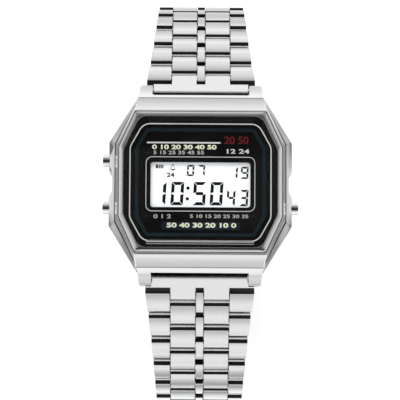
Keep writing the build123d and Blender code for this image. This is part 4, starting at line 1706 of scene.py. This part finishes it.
@dataclass
class Display:
    """Liquid-crystal display with its figures, the cell gauge and the bell.

    Attributes:
        colon_x: the colon's right edge at the time's foot line.
        bell_half: its right half, as shares of its height.
    """

    film_gap: float = 0.004
    film_thickness: float = 0.01
    time: Figures = Figures(
        Digit(2.28, 4.25, 0.58, gap=0.13), -4.08, (("1", -8.62), ("0", -5.43), ("5", -1.42), ("0", 1.66))
    )
    seconds: Figures = Figures(Digit(1.52, 2.98, 0.40), -4.2, (("4", 4.68), ("3", 7.02)))
    day: Figures = Figures(Digit(1.3, 2.05, 0.33), 1.22, (("0", -2.5), ("7", -0.56)))
    date: Figures = Figures(Digit(1.38, 2.22, 0.34), 0.76, (("1", 5.28), ("9", 7.22)))
    mode_row: Row = Row("24", -6.12, -4.7, 1.44, 0.84, weight=0.03)
    colon_x: float = -2.12
    colon_y: Point = (-0.97, -2.92)
    colon_size: float = 0.6
    colon_radius: float = 0.24
    gauge_left: float = -8.07
    gauge_y: float = 2.96
    gauge_height: float = 0.68
    gauge_bars: tuple[float, ...] = (0.4, 0.22, 0.22, 0.22)
    gauge_gap: float = 0.1
    bell_x: float = -5.0
    bell_foot: float = 2.32
    bell_height: float = 1.08
    bell_half: Levels = ((0.46, 0.0), (0.31, 0.25), (0.21, 0.75), (0.08, 1.0))
    bell_line: float = 0.15
    clapper_width: float = 0.24
    ink: Moulded = Moulded(
        "lcd_ink", (0.008, 0.008, 0.010), roughness=0.4, relief=0.0, variation=0.1, specular=0.1
    )
    # the panel's glow is painted light: the reflective film gives light of itself with no lamp behind it
    panel: Moulded = Moulded(
        "lcd_panel_silver", (0.97, 0.97, 0.97), relief=0.0003,
        grain_size=0.06, variation=0.015, specular=0.1, glow=0.12,
    )

    def build(self) -> None:
        """Dresses the panel and draws what the display shows."""
        dress(["lcd_panel"], self.panel.material())
        ink = Slabs(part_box("lcd_panel")[1].z / MM + self.film_gap, self.film_thickness)
        for row in (self.time, self.seconds, self.day, self.date):
            for figure, left in row.places:
                for outline in row.digit.strokes(figure, left, row.foot):
                    ink.add(outline)
        ink.words(self.mode_row)
        self.draw_colon(ink)
        self.draw_gauge(ink)
        self.draw_bell(ink)
        ink.piece("display_figures", "case", self.ink.material())

    def draw_colon(self, ink: Slabs) -> None:
        """The colon's two dots, slanted as the time is.

        Args:
            ink: the layer of figures.
        """
        size = self.colon_size
        for y in self.colon_y:
            x = self.colon_x + (y - self.time.foot) * self.time.digit.slant - size / 2
            ink.add(rounded(box_corners(size, size, x, y), self.colon_radius))

    def draw_gauge(self, ink: Slabs) -> None:
        """The cell gauge: a row of upright bars, the first one broad.

        Args:
            ink: the layer of figures.
        """
        left = self.gauge_left
        for width in self.gauge_bars:
            ink.bar((left, left + width, self.gauge_y, self.gauge_height))
            left += width + self.gauge_gap

    def bell_outline(self, inset: float) -> list[Point]:
        """Half of the bell's outline and its mirror image, drawn in by inset.

        Args:
            inset: how far.

        Returns:
            The outline, anticlockwise.
        """
        tall = self.bell_height - inset * 2
        right = [(x * tall, inset + y * tall) for x, y in self.bell_half]
        left = [(-x, y) for x, y in reversed(right)]
        return [(self.bell_x + x, self.bell_foot + y) for x, y in right + left]

    def draw_bell(self, ink: Slabs) -> None:
        """The bell: a flared outline with a clapper.

        Args:
            ink: the layer of figures.
        """
        ink.ring(self.bell_outline(0.0), self.bell_outline(self.bell_line))
        half, middle = self.clapper_width / 2, self.bell_foot - self.bell_line / 2
        ink.bar((self.bell_x - half, self.bell_x + half, middle, self.bell_line))


@dataclass
class Module:
    """What the case holds: carrier, board, chips, cell, clamp, lamp, switch leaves and sounder."""

    carrier: Moulded = Moulded("carrier_moulded", (0.10, 0.10, 0.11), roughness=0.55)
    rubber: Moulded = Moulded(
        "contact_layers", (0.85, 0.55, 0.55), roughness=0.6, grain_size=0.1, variation=0.4
    )
    laminate: Moulded = Moulded(
        "board_laminate", (0.10, 0.32, 0.18), roughness=0.4, grain_size=0.6, variation=0.3
    )
    chip: Moulded = Moulded("chip_moulded", (0.03, 0.03, 0.03), roughness=0.45)
    lamp: Moulded = Moulded("lamp_lens", (0.75, 0.85, 0.35), roughness=0.2)
    cell: Metal = Metal("cell_satin", tint=(0.72, 0.72, 0.70), roughness=0.28, brushing=Brushing.NONE)
    leaf: Metal = Metal("leaf_temper", tint=(0.70, 0.70, 0.70), roughness=0.25, brushing=Brushing.ACROSS)
    sounder: Metal = Metal("sounder_brass", tint=(0.80, 0.65, 0.35), roughness=0.3, brushing=Brushing.NONE)

    def build(self) -> None:
        """Dresses the pieces inside the case."""
        dress(["module_frame"], self.carrier.material())
        dress(["contact_strips"], self.rubber.material())
        dress(["circuit_board"], self.laminate.material())
        dress(["circuit_chips"], self.chip.material())
        dress(["led_lamp"], self.lamp.material())
        dress(["battery_cell"], self.cell.material())
        dress(["battery_clamp", "switch_springs"], self.leaf.material())
        dress(["piezo_disc"], self.sounder.material())


@dataclass
class Clasp:
    """Folding clasp: cover, catch, two leaves and their pins."""

    cover_edge: float = 0.12
    leaf_edge: float = 0.08
    plate_area: float = 1.5
    catch_area: float = 0.4
    cover_metal: Metal = Metal("clasp_brushed", tint=(0.76, 0.77, 0.78), roughness=0.24)
    leaf_metal: Metal = Metal("leaf_satin", tint=(0.72, 0.73, 0.74), roughness=0.3)
    pin_metal: Metal = Metal("clasp_pin_ground", tint=(0.68, 0.68, 0.69), brushing=Brushing.ACROSS)

    def build(self) -> None:
        """Makes the clasp's plates and dresses its pins."""
        cover, leaf, pin = (metal.material() for metal in (self.cover_metal, self.leaf_metal, self.pin_metal))
        eased("clasp_cover", [cover], self.cover_edge, broad=self.plate_area)
        eased("clasp_catch", [cover], self.leaf_edge, broad=self.catch_area)
        for node in ("clasp_middle_leaf", "clasp_inner_leaf"):
            eased(node, [leaf], self.leaf_edge, broad=self.plate_area)
        dress(["clasp_hinge_pin", "clasp_fold_pin", "clasp_end_bar", "clasp_tube_bar"], pin)


@dataclass
class Studio:
    """Floor, light and camera.

    Attributes:
        offset: how far up the dial the camera's aim lies.
        side_shift: how far the camera lies to the right.
        pixels_per_tangent: pixels that a slope of one takes in the photograph.
        clip_ratio: how many times nearer and farther than the dial the camera still sees.
        card_tone: how light the floor is where it is lit.
        camera_lift: light that the floor adds where the camera sees it.
        even_level: the surround's level where nothing mirrors it.
        beside_from: sideways part of a direction from which the side cards begin.
        beside_to: the part from which they are all that is seen.
        crossing: how far the cards towards twelve and six run into each other overhead.
        towards_twelve: the surround's level at each height above the horizon, in degrees.
        towards_six: the same on the other side.
        beside: the same to the left and the right.
    """

    distance: float = 450.0
    tilt_deg: float = 7.6
    offset: float = -2.27
    side_shift: float = -0.055
    roll_deg: float = 0.35
    pixels_per_tangent: float = 2457.0
    image_size: float = 400.0
    sensor: float = 36.0
    clip_ratio: float = 100.0
    floor_gap: float = 0.5
    floor_size: float = 3000.0
    card_tone: float = 0.5
    camera_lift: float = 0.6
    even_level: float = 1.0
    beside_from: float = 0.72
    beside_to: float = 0.96
    crossing: float = 0.1
    lamp_size: Point = (500.0, 350.0)
    lamp_power: float = 2.2
    lamp_place: Triple = (-150.0, 450.0, 550.0)
    towards_twelve: Levels = (
        (-90, 0.35), (-72, 0.4), (-55, 1.2), (-38, 0.85), (-25, 0.75), (-13, 0.95), (-6, 1.15),
        (2, 1.25), (8, 1.22), (14, 1.05), (22, 0.9), (32, 0.6), (45, 0.4), (58, 0.32),
        (68, 0.14), (76, 0.04), (90, 0.04),
    )
    towards_six: Levels = (
        (-90, 0.35), (-72, 0.4), (-50, 1.3), (-35, 1.1), (-25, 0.4), (-14, 0.75), (-4, 1.1),
        (5, 1.22), (13, 1.3), (20, 1.25), (26, 1.1), (33, 0.88), (43, 0.78), (53, 0.85),
        (60, 0.2), (66, 0.04), (90, 0.04),
    )
    beside: Levels = (
        (-90, 0.35), (-74, 0.4), (-60, 0.8), (-45, 0.78), (-41, 0.3), (-35, 0.22), (-29, 0.5),
        (-23, 0.5), (-16, 0.8), (-8, 0.92), (0, 0.96), (12, 1.02), (35, 1.02), (50, 0.92),
        (62, 0.75), (76, 0.6), (84, 0.1), (90, 0.08),
    )

    def build(self) -> None:
        """Places the camera, the floor, the lamp and the world."""
        self.place_camera()
        self.lay_floor()
        self.hang_lamp()
        self.light_world()

    def place_camera(self) -> None:
        """The photograph's view: nearly straight down, from slightly towards six o'clock."""
        tilt = math.radians(self.tilt_deg)
        back = Vector((0, -math.sin(tilt), math.cos(tilt)))
        up = Vector((0, math.cos(tilt), math.sin(tilt)))
        data = bpy.data.cameras.new("camera")
        data.sensor_width = self.sensor
        data.lens = self.pixels_per_tangent / self.image_size * self.sensor
        reach = self.distance * MM
        data.clip_start, data.clip_end = reach / self.clip_ratio, reach * self.clip_ratio
        camera = placed("camera", data)
        camera.location = (back * self.distance + up * self.offset + Vector((self.side_shift, 0, 0))) * MM
        turned = Matrix.Rotation(tilt, 3, "X") @ Matrix.Rotation(math.radians(self.roll_deg), 3, "Z")
        camera.rotation_euler = turned.to_euler()
        bpy.context.scene.camera = camera

    def lay_floor(self) -> None:
        """A plain white floor under the clasp."""
        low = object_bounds()[0].z - self.floor_gap * MM
        shape = bmesh.new()
        bmesh.ops.create_grid(shape, x_segments=1, y_segments=1, size=self.floor_size * MM / 2)
        mesh = bpy.data.meshes.new("floor")
        shape.to_mesh(mesh)
        shape.free()
        floor = placed("floor", mesh)
        floor.location.z = low
        floor.data.materials.append(self.floor_material(low))
        floor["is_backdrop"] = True

    def floor_material(self, height: float) -> Material:
        """White card with the watch's faint shadow, in which metal mirrors the surround.

        Args:
            height: where the floor lies on Z, in metres.

        Returns:
            The card's material.
        """
        shader = ShaderTree("floor_card")
        path = shader.add("ShaderNodeLightPath").outputs
        card = shader.add("ShaderNodeBsdfDiffuse", {"Color": (self.card_tone,) * 3 + (1.0,)})
        seen = shader.maths("MAXIMUM", path["Is Camera Ray"], path["Is Transmission Ray"])
        lift = shader.maths("MULTIPLY", seen, self.camera_lift)
        glow = shader.add("ShaderNodeEmission", {"Color": WHITE, "Strength": lift})
        both = shader.add("ShaderNodeAddShader", {0: card.outputs[0], 1: glow.outputs[0]})
        terms = {0: shader.place(), 1: (0, 0, height)}
        from_dial = shader.add("ShaderNodeVectorMath", terms, operation="ADD")
        way = shader.add("ShaderNodeVectorMath", {0: from_dial.outputs[0]}, operation="NORMALIZE")
        level = self.surround_level(shader, way.outputs[0])
        mirrored = shader.add("ShaderNodeEmission", {"Color": WHITE, "Strength": level})
        shares = {0: path["Is Glossy Ray"], 1: both.outputs[0], 2: mirrored.outputs[0]}
        return shader.finish(shader.add("ShaderNodeMixShader", shares))

    def hang_lamp(self) -> None:
        """One broad soft box over twelve o'clock, aimed at the dial, which metal doesn't mirror."""
        data = bpy.data.lights.new("soft_box", "AREA")
        data.shape, data.energy = "RECTANGLE", self.lamp_power
        data.size, data.size_y = (side * MM for side in self.lamp_size)
        lamp = placed("soft_box", data)
        lamp.visible_glossy = False
        lamp.location = Vector(self.lamp_place) * MM
        lamp.rotation_euler = (-lamp.location).to_track_quat("-Z", "Y").to_euler()

    def light_world(self) -> None:
        """A white surround that metal and glass see with dark cards overhead and at both sides."""
        world = bpy.data.worlds.new("surround")
        world.use_nodes = True
        world.cycles.sampling_method = "NONE"
        bpy.context.scene.world = world
        maker = NodeMaker(world.node_tree)
        maker.tree.nodes.clear()
        level = self.surround_level(maker, maker.add("ShaderNodeTexCoord").outputs["Generated"])
        plain = maker.add("ShaderNodeBackground", {"Color": WHITE, "Strength": self.even_level})
        mirrored = maker.add("ShaderNodeBackground", {"Strength": level})
        glossy = maker.add("ShaderNodeLightPath").outputs["Is Glossy Ray"]
        both = maker.add("ShaderNodeMixShader", {0: glossy, 1: plain.outputs[0], 2: mirrored.outputs[0]})
        maker.add("ShaderNodeOutputWorld", {"Surface": both.outputs[0]})

    def surround_level(self, maker: NodeMaker, way: NodeSocket) -> NodeSocket:
        """How bright the surround is in each direction, for what mirrors it.

        Args:
            maker: what adds the world's or the floor's nodes.
            way: the direction, of unit length.

        Returns:
            The socket with the level.
        """
        parts = maker.axes(way)
        height = maker.maths("ARCSINE", parts["Z"])
        levels = (self.towards_twelve, self.towards_six, self.beside)
        twelve, six, side = (self.ramp(maker, height, each) for each in levels)
        upwards = self.soft_step(maker, parts["Y"], -self.crossing, self.crossing)
        turned = maker.maths("DIVIDE", maker.maths("ABSOLUTE", parts["X"]), maker.maths("COSINE", height))
        flank = self.soft_step(maker, turned, self.beside_from, self.beside_to)
        along = maker.add("ShaderNodeMix", {"Factor": upwards, 2: six, 3: twelve})
        whole = maker.add("ShaderNodeMix", {"Factor": flank, 2: along.outputs[0], 3: side})
        return whole.outputs[0]

    def ramp(self, maker: NodeMaker, angle: NodeSocket, levels: Levels) -> NodeSocket:
        """A level for each height above the horizon.

        Args:
            maker: what adds the nodes.
            angle: the height above the horizon in radians.
            levels: pairs of a height in degrees and its level.

        Returns:
            The socket with the level.
        """
        inputs = {"Value": angle, "From Min": -math.pi / 2, "From Max": math.pi / 2}
        place = maker.add("ShaderNodeMapRange", inputs)
        node = maker.add("ShaderNodeValToRGB", {"Fac": place.outputs["Result"]})
        while len(node.color_ramp.elements) < len(levels):
            node.color_ramp.elements.new(1.0)
        for element, (height, level) in zip(node.color_ramp.elements, levels):
            element.position, element.color = (height + 90) / 180, (level, level, level, 1.0)
        return node.outputs["Color"]

    def soft_step(self, maker: NodeMaker, value: NodeSocket, low: float, high: float) -> NodeSocket:
        """A number that goes softly from 0 at low to 1 at high.

        Args:
            maker: what adds the nodes.
            value: the socket with the value.
            low: the value at 0.
            high: the value at 1.

        Returns:
            The socket with the number.
        """
        inputs = {"Value": value, "From Min": low, "From Max": high}
        return maker.add("ShaderNodeMapRange", inputs, interpolation_type="SMOOTHSTEP").outputs["Result"]


def main() -> None:
    """Builds the watch and the studio in order."""
    logging.basicConfig(level=logging.INFO, format="%(message)s")
    bpy.context.scene.view_settings.view_transform = "Standard"
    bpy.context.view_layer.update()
    Studio().build()
    CaseAssembly().build()
    CrystalAssembly().build()
    FaceAssembly().build()
    Bracelet().build()
    Buttons().build()
    Display().build()
    Module().build()
    Clasp().build()


if __name__ == "__main__":
    main()
